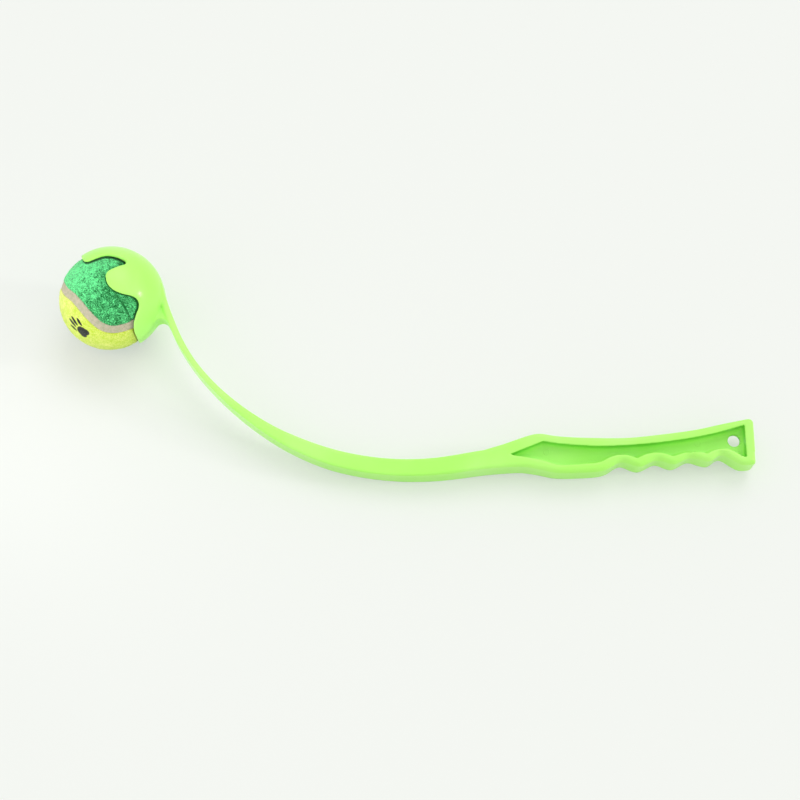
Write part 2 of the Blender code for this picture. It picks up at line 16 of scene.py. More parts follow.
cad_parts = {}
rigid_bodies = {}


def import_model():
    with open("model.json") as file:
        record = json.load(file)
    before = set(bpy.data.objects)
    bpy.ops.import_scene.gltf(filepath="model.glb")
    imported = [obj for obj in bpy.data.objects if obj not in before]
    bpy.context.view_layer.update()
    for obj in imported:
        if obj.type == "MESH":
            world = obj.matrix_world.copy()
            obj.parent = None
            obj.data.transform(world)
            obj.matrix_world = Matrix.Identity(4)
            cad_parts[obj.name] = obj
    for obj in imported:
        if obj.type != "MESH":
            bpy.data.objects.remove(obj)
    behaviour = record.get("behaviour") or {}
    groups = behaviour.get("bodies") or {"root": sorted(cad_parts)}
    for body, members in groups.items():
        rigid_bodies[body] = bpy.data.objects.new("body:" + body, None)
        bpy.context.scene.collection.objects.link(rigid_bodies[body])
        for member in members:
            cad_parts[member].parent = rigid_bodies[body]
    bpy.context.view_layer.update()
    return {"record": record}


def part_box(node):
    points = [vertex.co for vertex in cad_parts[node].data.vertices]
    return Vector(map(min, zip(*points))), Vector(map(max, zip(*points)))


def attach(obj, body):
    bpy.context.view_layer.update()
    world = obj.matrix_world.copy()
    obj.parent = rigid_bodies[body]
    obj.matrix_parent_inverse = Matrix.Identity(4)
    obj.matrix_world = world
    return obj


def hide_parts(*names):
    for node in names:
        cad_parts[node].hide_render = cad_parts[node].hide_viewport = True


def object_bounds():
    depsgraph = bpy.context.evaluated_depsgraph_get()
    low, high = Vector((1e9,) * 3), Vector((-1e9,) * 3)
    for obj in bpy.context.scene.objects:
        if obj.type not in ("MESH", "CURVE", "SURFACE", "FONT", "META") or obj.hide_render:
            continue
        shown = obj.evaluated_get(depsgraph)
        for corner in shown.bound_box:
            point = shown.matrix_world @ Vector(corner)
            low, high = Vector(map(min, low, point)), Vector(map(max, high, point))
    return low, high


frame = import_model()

# %% [markdown]
# ## The launcher's own axes
# The launcher lies on its side and leans a little, because the cup is wider than the handle. Its
# shapes are easier to describe upright, in its own plane: the ball's centre is the origin, X runs
# along the handle, Y across it and Z square to the plane. The record's two mounts point along X
# and Z, and the rubber core's two halves have the ball's centre in their middle, so the axes come
# from the frame and not from typed angles.

# %% The launcher's axes


def axes_at(x, y, z, place):
    """The matrix of three axes that stand at a place."""
    matrix = Matrix((x, y, z)).transposed().to_4x4()
    matrix.translation = place
    return matrix


mounts = {mount["name"]: Vector(mount["axis"]) for mount in frame["record"]["mounts"]}
along = mounts["butt_face"].normalized()
across = mounts["hanging_web"].cross(along).normalized()
core = [corner for node in ("core_half_front", "core_half_back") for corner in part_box(node)]
core_low, core_high = (Vector(pick(values) for values in zip(*core)) for pick in (min, max))
LAUNCHER = axes_at(along, across, along.cross(across), (core_low + core_high) / 2)
print("ball centre:", [round(value, 4) for value in LAUNCHER.translation])

# %% [markdown]
# ## The camera
# The photograph is a square picture from above the launcher's plane, tilted 18 degrees towards
# the handle's lower edge, so that the undersides of the grip and the arm show. The ball stands
# out at the left of the picture, which says how close the camera was. The centre of the ball is
# placed on its pixel by a plain ray through the pinhole.

# %% Camera at the photograph's angle
PICTURE_SIDE = 800
BALL_PIXEL = (109.3, 300.7)
CAMERA_DISTANCE = 1.05
CAMERA_TILT = math.radians(18)
PIXELS_PER_METRE = 1545
SENSOR = 36

focal_pixels = PIXELS_PER_METRE * CAMERA_DISTANCE
camera_right = Vector((1, 0, 0))
camera_up = Vector((0, math.cos(CAMERA_TILT), math.sin(CAMERA_TILT)))
camera_back = camera_right.cross(camera_up)
eye = camera_back * CAMERA_DISTANCE
ray = (camera_right * (BALL_PIXEL[0] - PICTURE_SIDE / 2) / focal_pixels
       + camera_up * (PICTURE_SIDE / 2 - BALL_PIXEL[1]) / focal_pixels - camera_back)
ball_on_plane = eye + ray * (-eye.z / ray.z)
VIEW = axes_at(camera_right, camera_up, camera_back, eye - ball_on_plane)
camera = bpy.data.objects.new("camera", bpy.data.cameras.new("camera"))
bpy.context.scene.collection.objects.link(camera)
camera.data.sensor_width = SENSOR
camera.data.lens = SENSOR * focal_pixels / PICTURE_SIDE
camera.matrix_world = LAUNCHER @ VIEW
bpy.context.scene.camera = camera
print("lens in mm:", round(camera.data.lens, 1))

# %% Places that a pixel shows


def look_through(pixel):
    """Where the camera stands and where it looks through a pixel, in the launcher's axes."""
    look = Vector((pixel[0] - PICTURE_SIDE / 2, PICTURE_SIDE / 2 - pixel[1], -focal_pixels))
    return VIEW.translation, (VIEW.to_3x3() @ look).normalized()


def on_plane(pixel, height):
    """The place that a pixel shows at a height over the launcher's own plane."""
    start, look = look_through(pixel)
    return start + look * ((height - start.z) / look.z)


def on_ball(pixel):
    """Direction from the ball's centre to the point of its surface that a pixel shows."""
    start, look = look_through(pixel)
    nearest = -start.dot(look)
    reach = nearest - math.sqrt(nearest ** 2 - start.length_squared + BALL_RADIUS ** 2)
    return (start + look * reach).normalized()


# %% [markdown]
# ## Helpers for lines and nodes
# Outlines here are smooth curves through a few chosen points. A Catmull-Rom curve passes through
# every point that it is given, which makes it handy for tracing a real edge. A node in Blender has
# settings of its own and sockets that are linked or written. One helper fills in all three by
# name, so that a tree reads as a list of its nodes.

# %% Line helper


def smooth_line(points, steps):
    """Points on a Catmull-Rom curve through the given ones, with so many steps to a span."""
    knots = np.array(points, float)
    padded = np.vstack([knots[0] * 2 - knots[1], knots, knots[-1] * 2 - knots[-2]])
    line = []
    for a, b, c, d in zip(padded, padded[1:], padded[2:], padded[3:]):
        for t in np.arange(steps) / steps:
            line.append((b * 2 + (c - a) * t + (a * 2 - b * 5 + c * 4 - d) * t ** 2
                         + (b * 3 - a - c * 3 + d) * t ** 3) / 2)
    return np.array(line + [knots[-1]])


# %% Object and node helpers


def new_object(name, data):
    """An object for finished data, at the origin."""
    obj = bpy.data.objects.new(name, data)
    bpy.context.scene.collection.objects.link(obj)
    return obj


def feed(tree, socket, value):
    """Link another socket into a socket, or write a plain value into it."""
    if isinstance(value, bpy.types.NodeSocket):
        tree.links.new(value, socket)
    elif value is not None:
        socket.default_value = value


def fill(tree, node, **values):
    """Fill in a node's own settings and its named inputs, with an underscore for a space."""
    for key, value in values.items():
        if hasattr(node, key):
            setattr(node, key, value)
        else:
            feed(tree, node.inputs[key.replace("_", " ")], value)
    return node


def add_node(tree, kind, **values):
    """A new node, filled in."""
    return fill(tree, tree.nodes.new(kind), **values)


def new_tree(name, kind, inputs, outputs):
    """An empty node group with named sockets, its input sockets and its output node."""
    tree = bpy.data.node_groups.new(name, kind)
    for side, sockets in (("INPUT", inputs), ("OUTPUT", outputs)):
        for label, socket in sockets.items():
            tree.interface.new_socket(label, in_out=side, socket_type="NodeSocket" + socket)
    return tree, tree.nodes.new("NodeGroupInput").outputs, tree.nodes.new("NodeGroupOutput")


def new_material(name, **values):
    """A Principled material, its tree, its shader and Object coordinates."""
    material = bpy.data.materials.new(name)
    material.use_nodes = True
    tree = material.node_tree
    shader = fill(tree, tree.nodes["Principled BSDF"], **values)
    return material, tree, shader, tree.nodes.new("ShaderNodeTexCoord").outputs["Object"]

# %% [markdown]
# ## Sizes of the moulding
# These are the same named sizes as the CAD model has. Shares are parts of the size that they
# belong to, so the outlines keep their shape when a size changes.

# %% Cup sizes
BALL_RADIUS = 0.0325
BALL_CLEARANCE = 0.0006
CUP_TIP_WALL = 0.0014
CUP_BACK_SHIFT = 0.0025
OPENING_ANGLE = math.radians(214)
# Half of the rim: degrees round the opening, and degrees from the middle of the cup's back
RIM_POINTS = (
    (0, 88.5), (25, 89.8), (46, 92), (55, 90), (57.2, 84), (57.8, 77.5), (58.6, 68), (64, 60),
    (70, 55), (77.5, 52), (82.8, 56), (83, 63), (83.2, 70), (84, 77.5), (88.5, 82.5),
    (97, 84.9), (106, 83), (114, 77.5), (121, 70.5), (127.5, 66.5), (133.5, 66.5), (138.7, 69.5),
    (144, 76.5), (151, 83), (160, 86.6), (170, 87.4), (180, 87.6),
)
LIP_ROUND = 0.0011
LIP_ROUND_SHARE = 0.48

CUP_RADIUS = BALL_RADIUS + BALL_CLEARANCE
CUP_OUTER_RADIUS = CUP_RADIUS + CUP_TIP_WALL
OPENING = np.array((math.cos(OPENING_ANGLE), math.sin(OPENING_ANGLE), 0))
CUP_CENTRE = OPENING * -CUP_BACK_SHIFT
print("cup across in mm:", round(CUP_OUTER_RADIUS * 2000, 1))

# %% Arm and gusset sizes
ARM_REACH = 0.2124
ARM_DROP = 0.125
ARM_ROOT_ANGLE = math.radians(15)
ARM_PATH_SHARES = (
    (0, 0), (0.0146, 0.092), (0.0358, 0.188), (0.0725, 0.324), (0.1266, 0.464), (0.202, 0.605),
    (0.2985, 0.741), (0.409, 0.856), (0.548, 0.95), (0.698, 0.997), (0.842, 0.999), (1, 0.9616),
)
ARM_WIDTH = 0.016
ARM_DEPTH = 0.0124
ARM_DEPTH_SHARES = (
    (0, 0.2), (0.05, 0.33), (0.14, 0.34), (0.22, 0.3), (0.33, 0.36), (0.45, 0.53),
    (0.55, 0.73), (0.65, 0.85), (0.85, 0.9), (1, 1),
)
ARM_WIDENING_SHARE = 0.7
ARM_EDGE = 0.0011
GUSSET_WIDTH = 0.012
GUSSET_EDGE = 0.0008
ARCH_RADIUS = 0.0052
ARCH_SEARCH_SHARE = 0.14
print("arm spans in mm:", round(ARM_REACH * 1000, 1), "and", round(ARM_DROP * 1000, 1))

# %% Handle sizes
HANDLE_LENGTH = 0.1715
HANDLE_DEPTH = 0.03
HANDLE_WIDTH = 0.02
HANDLE_EDGE = 0.0021
BUTT_CORNER = 0.003
LOWER_BUTT_CORNER = 0.0018
TOP_SHARES = (
    (0.0706, 0.34), (0.16, 0.52), (0.205, 0.563), (0.25, 0.525), (0.294, 0.497), (0.383, 0.473),
    (0.5277, 0.473), (0.658, 0.55), (0.782, 0.65), (0.891, 0.787), (1, 0.915),
)
LOWER_SHARES = (
    (0.075, -0.173), (0.14, -0.163), (0.2, -0.215), (0.262, -0.287), (0.345, -0.287),
    (0.437, -0.238), (0.504, -0.053), (0.571, -0.153), (0.636, -0.013), (0.6985, -0.1),
    (0.76, 0.04), (0.829, -0.037), (0.879, 0.097), (0.948, -0.107), (1, -0.1),
)
GROOVE_SHARES = (0.504, 0.636, 0.76, 0.879)
GROOVE_HALF_SHARE = 0.04
GROOVE_FLARE = 0.0014
GRIP_EDGE = 0.0034
GRIP_TOP_SHARE = 0.17
WEB_THICKNESS = 0.003
RECESS_FLOOR_ROUND = 0.003
RECESS_DRAFT = 0.05
RECESS_LIP_HEIGHT = 0.0094
HOLE_RADIUS = 0.0039
HOLE_FROM_BUTT = 0.0116
HOLE_FROM_TOP = 0.0108
print("handle length in mm:", round(HANDLE_LENGTH * 1000, 1))

# %% [markdown]
# ## The arm and the handle as one outline
# Seen square to its plane, the arm runs on into the handle without a step, so both are one closed
# outline: the arm's upper edge, the handle's upper edge, the butt, and back along the grip. The
# arm's edges are its centre line moved out by half of its thickness at each point.

# %% Arm centre line and thickness
LINE_STEPS = 10


def cup_outer_radius(angle):
    """Distance from the ball's centre to the cup's outside, at an angle from the cup's back."""
    aside = CUP_BACK_SHIFT * np.sin(angle)
    return CUP_BACK_SHIFT * np.cos(angle) + np.sqrt(CUP_OUTER_RADIUS ** 2 - aside ** 2)


root_angle_from_back = OPENING_ANGLE - math.pi - ARM_ROOT_ANGLE
root_radius = (CUP_RADIUS + cup_outer_radius(root_angle_from_back)) / 2
arm_root = np.array((math.cos(ARM_ROOT_ANGLE), math.sin(ARM_ROOT_ANGLE))) * root_radius
arm_line = smooth_line(arm_root + np.array(ARM_PATH_SHARES) * (ARM_REACH, -ARM_DROP), LINE_STEPS)
arm_steps = np.hypot(*np.diff(arm_line, axis=0).T)
arm_share = np.concatenate([[0], np.cumsum(arm_steps)]) / arm_steps.sum()
depth_line = smooth_line(ARM_DEPTH_SHARES, LINE_STEPS)
arm_depth = ARM_DEPTH * np.interp(arm_share, depth_line[:, 0], depth_line[:, 1])
arm_direction = np.gradient(arm_line, axis=0)
arm_direction /= np.hypot(*arm_direction.T)[:, None]
arm_side = np.column_stack([-arm_direction[:, 1], arm_direction[:, 0]])
arm_upper = arm_line + arm_side * arm_depth[:, None] / 2
arm_lower = arm_line - arm_side * arm_depth[:, None] / 2
print("arm length in mm:", round(arm_steps.sum() * 1000, 1))

# %% Handle edges
handle_start = arm_line[-1]
handle_scale = np.array((HANDLE_LENGTH, HANDLE_DEPTH))
top_points = handle_start + np.array(TOP_SHARES) * handle_scale
lower_points = handle_start + np.array(LOWER_SHARES) * handle_scale
handle_upper = smooth_line(np.vstack([arm_upper[-1], top_points]), LINE_STEPS)
handle_lower = smooth_line(np.vstack([arm_lower[-1], lower_points]), LINE_STEPS)
BUTT = handle_upper[-1][0]
print("butt at", round(BUTT * 1000, 1), "mm from the ball's centre")

# %% Butt corners and the whole outline
BUTT_STEPS = 10


def butt_corner(edge, side, radius):
    """The arc that turns an edge of the handle, above (1) or below (-1), into its flat butt."""
    slope = math.atan2(edge[-1][1] - edge[-2][1], edge[-1][0] - edge[-2][0])
    above = radius * math.tan(slope) + side * radius / math.cos(slope)
    hub = edge[-1] - (radius, above)
    angles = (side * math.pi / 2 + slope) * (1 - np.arange(BUTT_STEPS + 1) / BUTT_STEPS)
    return hub + radius * np.column_stack([np.cos(angles), np.sin(angles)])


def run_to_butt(edge, side, radius):
    """An edge of the handle with its corner at the butt."""
    arc = butt_corner(edge, side, radius)
    return np.vstack([edge[edge[:, 0] < arc[0][0]], arc])


body_outline = np.vstack([arm_upper[:-1], run_to_butt(handle_upper, 1, BUTT_CORNER),
                          run_to_butt(handle_lower, -1, LOWER_BUTT_CORNER)[::-1], arm_lower[-2::-1]])
print("outline points:", len(body_outline))

# %% Recess and hanging hole
# Pixels along the recess's lip: its tip, then under the top flange to the butt, and then back
# over the humps of the grip, one run to each hump, because the valleys between them are sharp
RECESS_TOP_PIXELS = (
    (510.6, 454.0), (543.3, 441.0), (556, 443.1), (578, 445.0), (600, 445.9), (622, 445.3),
    (644, 443.8), (666, 441.5), (688, 438.4), (710, 434.2), (727, 429.9), (744.5, 424.8),
)
RECESS_GRIP_PIXELS = (
    ((747, 456.8), (743.3, 456.3), (735.6, 452.2), (730, 449.4), (724.4, 448.7), (714.4, 450),
     (707.8, 453.4)),
    ((707.8, 453.4), (700, 452.0), (690, 452.0), (681.1, 453.6), (673.3, 456.3)),
    ((673.3, 456.3), (663.3, 453.1), (654.4, 452.6), (645, 454.4), (637.4, 458.2)),
    ((637.4, 458.2), (629, 455.3), (622.2, 454.7), (615.6, 455.3), (608.9, 457.6), (603.3, 460.6),
     (596.7, 462.6), (588.9, 463.3), (577.8, 464.2), (566.7, 464.9), (558.9, 464.9), (552.2, 463.3),
     (544.4, 460.6), (533.3, 458.3), (522.2, 456.5), (510.6, 454.8)),
)


def recess_outline():
    """The recess in each side of the handle: a straight run to its corner, a long shallow bow
    under the top flange, the end wall, and a hump over each finger groove."""
    lips = [[on_plane(pixel, RECESS_LIP_HEIGHT).xy for pixel in run]
            for run in (RECESS_TOP_PIXELS, *RECESS_GRIP_PIXELS)]
    top = smooth_line(lips[0][1:], LINE_STEPS // 2)
    grip = [smooth_line(run, LINE_STEPS // 2) for run in lips[1:]]
    return np.vstack([[lips[0][0]], top, *(run[:-1] for run in grip[:-1]), grip[-1][:-1]])


pocket_outline = recess_outline()
hole_x = BUTT - HOLE_FROM_BUTT
hole_centre = np.array((hole_x, np.interp(hole_x, *handle_upper.T) - HOLE_FROM_TOP))
print("recess points:", len(pocket_outline))

# %% [markdown]
# ## The gusset and its arch
# Below the strap, a web fills the corner between arm and cup and ends in a small arch. The arch
# is a circle that touches both, so its centre is found by halving: slide the circle down along
# the arm until it is as far from the cup as its own radius.

# %% Gusset outline
GUSSET_STEPS = 14


def arch_touch():
    """Index on the arm's line where the arch touches it, and the arch's centre."""
    inward = -arm_side
    hubs = arm_line + inward * (arm_depth[:, None] / 2 + ARCH_RADIUS)
    gap = np.hypot(*(hubs - CUP_CENTRE[:2]).T) - CUP_OUTER_RADIUS - ARCH_RADIUS
    share = np.interp(0, gap[arm_share < ARCH_SEARCH_SHARE], arm_share[arm_share < ARCH_SEARCH_SHARE])
    hub = np.array([np.interp(share, arm_share, hubs[:, axis]) for axis in (0, 1)])
    touch = np.array([np.interp(share, arm_share, arm_line[:, axis]) for axis in (0, 1)])
    return share, hub, touch


def gusset_outline():
    """Down the arm's centre line, round the arch, and back up inside the cup's wall."""
    share, hub, touch = arch_touch()
    first = math.atan2(*(touch - hub)[::-1])
    turn = (math.atan2(*(CUP_CENTRE[:2] - hub)[::-1]) - first) % math.tau
    arch = first + turn * np.arange(GUSSET_STEPS + 1) / GUSSET_STEPS
    arch = hub + ARCH_RADIUS * np.column_stack([np.cos(arch), np.sin(arch)])
    lowest = math.atan2(arch[-1][1], arch[-1][0])
    wall = lowest + (ARM_ROOT_ANGLE - lowest) * np.arange(GUSSET_STEPS) / GUSSET_STEPS
    radius = (CUP_RADIUS + cup_outer_radius(OPENING_ANGLE - math.pi - wall)) / 2
    wall = radius[:, None] * np.column_stack([np.cos(wall), np.sin(wall)])
    return np.vstack([arm_line[arm_share < share], touch, arch, wall])


web_outline = gusset_outline()
print("gusset points:", len(web_outline))

# %% [markdown]
# ## One moulding from distances
# A moulding has a soft fillet at every inner corner and a rounded edge at every outer one. Joining
# meshes and bevelling the seams between them breaks easily on curved shapes. A distance field
# does it cleanly: a function gives the distance from any point to the plastic, below zero inside.
# Two shapes join with a fillet when their distances blend, and an edge is rounded when two
# distances meet in a quarter circle. The surface is where the distance is zero.

# %% Distances in the plane and their blends


def outline_distance(x, y, outline):
    """Signed distance to a closed outline in the plane, below zero inside."""
    nearest = np.full(x.shape, np.inf)
    inside = np.zeros(x.shape, bool)
    for (ax, ay), (bx, by) in zip(outline, np.roll(outline, -1, axis=0)):
        dx, dy = bx - ax, by - ay
        px, py = x - ax, y - ay
        t = np.clip((px * dx + py * dy) / (dx * dx + dy * dy), 0, 1)
        nearest = np.minimum(nearest, (px - dx * t) ** 2 + (py - dy * t) ** 2)
        if dy:
            inside ^= ((ay > y) != (by > y)) & (px < dx * py / dy)
    return np.where(inside, -1, 1) * np.sqrt(nearest)


def rounded(a, b, radius):
    """What lies inside both shapes, with their shared edge rounded."""
    a, b = a + radius, b + radius
    return np.hypot(np.maximum(a, 0), np.maximum(b, 0)) + np.minimum(np.maximum(a, b), 0) - radius


def joined(a, b, fillet):
    """What lies inside either shape, with a fillet where they meet."""
    near = np.maximum(fillet - np.abs(a - b), 0) / fillet
    return np.minimum(a, b) - near ** 2 * fillet / 4


def eased(value, low, high):
    """Zero up to low, one from high, and a soft step between."""
    share = np.clip((value - low) / (high - low), 0, 1)
    return share * share * (3 - 2 * share)


# %% Distance to the cup
RIM_STEPS = 8
CUP_SIDE = np.cross((0, 0, 1), -OPENING)
half_rim = smooth_line(RIM_POINTS, RIM_STEPS)
rim_around = np.radians(half_rim[:, 0])
rim_reach = np.radians(half_rim[:, 1])


def in_cup_turn(x, y):
    """How far a point lies to the cup's side and to its back."""
    return x * CUP_SIDE[0] + y * CUP_SIDE[1], -(x * OPENING[0] + y * OPENING[1])


def rim_distance(x, y, height, radius):
    """Distance to the rim's line over the ball, above zero on the open side.

    Height is taken as positive, because both halves of the rim are alike.
    """
    side, back = in_cup_turn(x, y)
    line = np.column_stack([np.sin(rim_reach) * np.cos(rim_around),
                            np.sin(rim_reach) * np.sin(rim_around), np.cos(rim_reach)])
    toward = np.column_stack([side, height, back]) / radius[:, None]
    nearest = np.full(len(radius), np.inf)
    for a, b in zip(line, line[1:]):
        span = b - a
        offset = toward - a
        t = np.clip(offset @ span / (span @ span), 0, 1)
        offset -= t[:, None] * span
        nearest = np.minimum(nearest, np.einsum("ij,ij->i", offset, offset))
    reach = np.arccos(np.clip(toward[:, 2], -1, 1))
    limit = np.interp(np.arctan2(toward[:, 1], toward[:, 0]), rim_around, rim_reach)
    return np.where(reach > limit, 1, -1) * np.sqrt(nearest) * radius


def cup_distance(x, y, z):
    """Distance to the scalloped cup."""
    radius = np.sqrt(x * x + y * y + z * z)
    outer = np.sqrt((x - CUP_CENTRE[0]) ** 2 + (y - CUP_CENTRE[1]) ** 2 + z * z) - CUP_OUTER_RADIUS
    shell = np.maximum(outer, CUP_RADIUS - radius)
    rim = rim_distance(x, y, np.abs(z), np.maximum(radius, CUP_TIP_WALL))
    side, back = in_cup_turn(x, y)
    wall = cup_outer_radius(np.arctan2(np.hypot(side, z), back)) - CUP_RADIUS
    return rounded(shell, rim, np.minimum(wall * LIP_ROUND_SHARE, LIP_ROUND))


# %% Distance to the whole moulding
CUP_FILLET = 0.0015
GUSSET_FILLET = 0.0012
RECESS_LIP = 0.0006
HOLE_LIP = 0.0008
CUP_ZONE = CUP_OUTER_RADIUS + 0.012
arm_widens_from = np.interp(ARM_WIDENING_SHARE, arm_share, arm_line[:, 0])
groove_x = handle_start[0] + np.array(GROOVE_SHARES) * HANDLE_LENGTH
groove_half = GROOVE_HALF_SHARE * HANDLE_LENGTH
grip_top_y = handle_start[1] + HANDLE_DEPTH * GRIP_TOP_SHARE


def body_distance(x, y, height):
    """Distance to the arm and the handle, with the recesses and the hanging hole."""
    widened = eased(x, arm_widens_from, handle_start[0])
    half_width = (ARM_WIDTH + (HANDLE_WIDTH - ARM_WIDTH) * widened) / 2
    edge = ARM_EDGE + (HANDLE_EDGE - ARM_EDGE) * widened
    grip_edge = GRIP_EDGE - HANDLE_EDGE + sum(
        GROOVE_FLARE * (1 - eased(np.abs(x - groove), 0, groove_half)) for groove in groove_x)
    at_grip = eased(x, handle_start[0], handle_start[0] + HANDLE_LENGTH / 4) * (y < grip_top_y)
    edge = edge + grip_edge * at_grip
    body = rounded(outline_distance(x, y, body_outline), height - half_width, edge)
    at_handle = x > handle_start[0]
    xs, ys, heights = x[at_handle], y[at_handle], height[at_handle]
    pocket = outline_distance(xs, ys, pocket_outline) + RECESS_DRAFT * (HANDLE_WIDTH / 2 - heights)
    pocket = rounded(pocket, WEB_THICKNESS / 2 - heights, RECESS_FLOOR_ROUND)
    hole = np.hypot(xs - hole_centre[0], ys - hole_centre[1]) - HOLE_RADIUS
    body[at_handle] = -joined(-body[at_handle], pocket, RECESS_LIP)
    body[at_handle] = -joined(-body[at_handle], hole, HOLE_LIP)
    return body


def moulding_distance(x, y, z):
    """Distance to the launcher's plastic, below zero inside."""
    height = np.abs(z)
    plastic = body_distance(x, y, height)
    at_cup = x * x + y * y + z * z < CUP_ZONE ** 2
    xs, ys, heights = x[at_cup], y[at_cup], height[at_cup]
    gusset = rounded(outline_distance(xs, ys, web_outline), heights - GUSSET_WIDTH / 2, GUSSET_EDGE)
    near = joined(plastic[at_cup], gusset, GUSSET_FILLET)
    near = joined(near, cup_distance(xs, ys, heights), CUP_FILLET)
    cavity = CUP_RADIUS - np.sqrt(xs * xs + ys * ys + heights * heights)
    plastic[at_cup] = np.maximum(near, cavity)
    return plastic


# %% [markdown]
# ## From distances to a mesh
# A surface net puts one point in every grid cell that the surface crosses, and joins the points
# of neighbouring cells into squares. Distances are only worked out near the surface: a coarse grid
# says where that is. Afterwards each point slides along the field's slope onto the exact surface,
# so the mesh is smoother than its grid. The launcher is the same on both sides of its plane, so
# the grid covers one half and is mirrored. For the material, each point carries two marks: one is
# set on the recess's walls just under their lip, and the other on the cup close to its rim.

# %% Grid near the surface
CELL = 0.0008
BLOCK = 4
MARGIN = 0.003


def grid_of_distances():
    """Distances on a mirrored grid, exact near the surface, with the grid's lowest corner."""
    reach = CUP_OUTER_RADIUS + CUP_BACK_SHIFT
    lowest = min(handle_lower[:, 1].min(), arm_lower[:, 1].min())
    low = np.array((-reach, lowest, 0)) - (MARGIN, MARGIN, 0)
    high = np.array((BUTT, reach, CUP_OUTER_RADIUS)) + MARGIN
    blocks = np.ceil((high - low) / (CELL * BLOCK)).astype(int)
    middle = [low[axis] + CELL * (BLOCK * np.arange(blocks[axis]) + (BLOCK - 1) / 2)
              for axis in range(3)]
    centres = np.meshgrid(*middle, indexing="ij")
    coarse = moulding_distance(*(axis.ravel() for axis in centres)).reshape(blocks)
    field = coarse.repeat(BLOCK, 0).repeat(BLOCK, 1).repeat(BLOCK, 2)
    near = np.argwhere(np.abs(field) < CELL * (BLOCK + 1.2))
    field[tuple(near.T)] = moulding_distance(*(low + near * CELL).T)
    low[2] = -CELL * (field.shape[2] - 1)
    return np.concatenate([field[:, :, :0:-1], field], axis=2), low


# %% Squares that cross


def uncross(field):
    """Fill the few grid squares whose corners are inside and outside crosswise.

    Such a square would give the mesh an edge with four faces.
    """
    filled = 0
    for axis in range(3):
        turned = np.moveaxis(field, axis, 2)
        corners = [turned[i:turned.shape[0] - 1 + i, j:turned.shape[1] - 1 + j]
                   for i in (0, 1) for j in (0, 1)]
        a, b, c, d = (corner < 0 for corner in corners)
        for place in np.argwhere((a == d) & (b == c) & (a != b)):
            empty = next((corner for corner in corners if corner[tuple(place)] >= 0), None)
            if empty is not None:
                empty[tuple(place)] = -CELL / 50
                filled += 1
    return filled


# %% Surface net


def surface_net(field, low):
    """Points and squares where a grid of distances crosses zero."""
    inside = field < 0
    size = np.array(field.shape) - 1
    corners = [(i, j, k) for i in (0, 1) for j in (0, 1) for k in (0, 1)]
    count = sum(inside[i:size[0] + i, j:size[1] + j, k:size[2] + k].astype(np.int8)
                for i, j, k in corners)
    cells = np.argwhere((count > 0) & (count < 8))
    values = {corner: field[tuple((cells + corner).T)] for corner in corners}
    total = np.zeros((len(cells), 3))
    crossings = np.zeros(len(cells))
    for a in corners:
        for axis in range(3):
            b = tuple(value + (index == axis) for index, value in enumerate(a))
            if b not in values:
                continue
            crossed = (values[a] < 0) != (values[b] < 0)
            gap = np.where(crossed, values[a] - values[b], 1)
            point = np.array(a, float) + np.outer(values[a] / gap, np.eye(3)[axis])
            total += np.where(crossed[:, None], point, 0)
            crossings += crossed
    points = low + CELL * (cells + total / crossings[:, None])
    number = np.full(size, -1)
    number[tuple(cells.T)] = np.arange(len(cells))
    squares = []
    for axis in range(3):
        step = np.eye(3, dtype=int)[axis]
        first = inside[tuple(slice(0, n - s) for n, s in zip(field.shape, step))]
        second = inside[tuple(slice(s, None) for s in step)]
        edges = np.argwhere(first != second)
        side_a, side_b = np.roll(step, 1), np.roll(step, 2)
        moves = (side_a + side_b, side_b, 0 * side_a, side_a)
        ring = np.column_stack([number[tuple((edges - move).T)] for move in moves])
        leaving = first[tuple(edges.T)]
        squares.append(np.where(leaving[:, None], ring, ring[:, ::-1]))
    return points, np.vstack(squares)


# %% Slide the points onto the surface
PROBE = 0.00012
PROBE_CORNERS = np.array(((1, 1, 1), (1, -1, -1), (-1, 1, -1), (-1, -1, 1)))


def settle(points, rounds):
    """Move points along the field's slope until their distance is zero."""
    for _ in range(rounds):
        values = [moulding_distance(*(points + corner * PROBE).T) for corner in PROBE_CORNERS]
        slope = sum(map(np.outer, values, PROBE_CORNERS)) / (4 * PROBE)
        distance = sum(values) / 4
        steepness = np.maximum(np.einsum("ij,ij->i", slope, slope), 0.25)
        step = slope * (distance / steepness)[:, None]
        length = np.maximum(np.linalg.norm(step, axis=1), 1e-9)
        points = points - step * np.minimum(1, CELL / 2 / length)[:, None]
    return points


# %% Marks for the material, and the mesh
# Painted shade under the recess's lip: its reach from the wall and its heights over the mid-plane
LIP_SHADE_WIDTH = (0.0004, 0.0011)
LIP_SHADE_HEIGHT = (0.003, 0.0075)
LIP_SOFTNESS = 0.0003
# Where the painted shade on the cup's inner edge starts and is full, as distances from the rim
RIM_MARK = (-0.0026, -0.0012)
UNCROSS_ROUNDS = 6


def mark_points(mesh, name, values):
    """Keep one number for each point of a mesh."""
    marks = mesh.attributes.new(name, "FLOAT", "POINT")
    marks.data.foreach_set("value", np.asarray(values, np.float32).ravel())


def under_lip(points):
    """Where the recess's walls get painted shade: one on the wall just under its lip, and zero elsewhere.
    """
    x, y, height = points[:, 0], points[:, 1], np.abs(points[:, 2])
    at_handle = x > handle_start[0]
    from_wall = np.abs(outline_distance(x[at_handle], y[at_handle], pocket_outline))
    height = height[at_handle]
    below_lip = 1 - eased(height, RECESS_LIP_HEIGHT - LIP_SOFTNESS, RECESS_LIP_HEIGHT + LIP_SOFTNESS)
    shade = np.zeros(len(points))
    on_wall = 1 - eased(from_wall, *LIP_SHADE_WIDTH)
    shade[at_handle] = on_wall * eased(height, *LIP_SHADE_HEIGHT) * below_lip
    return shade


def near_rim(points):
    """One on the cup close to its rim, where its inner edge gets painted shade, and zero further inwards.
    """
    x, y, z = points.T
    return eased(rim_distance(x, y, np.abs(z), np.linalg.norm(points, axis=1)), *RIM_MARK)


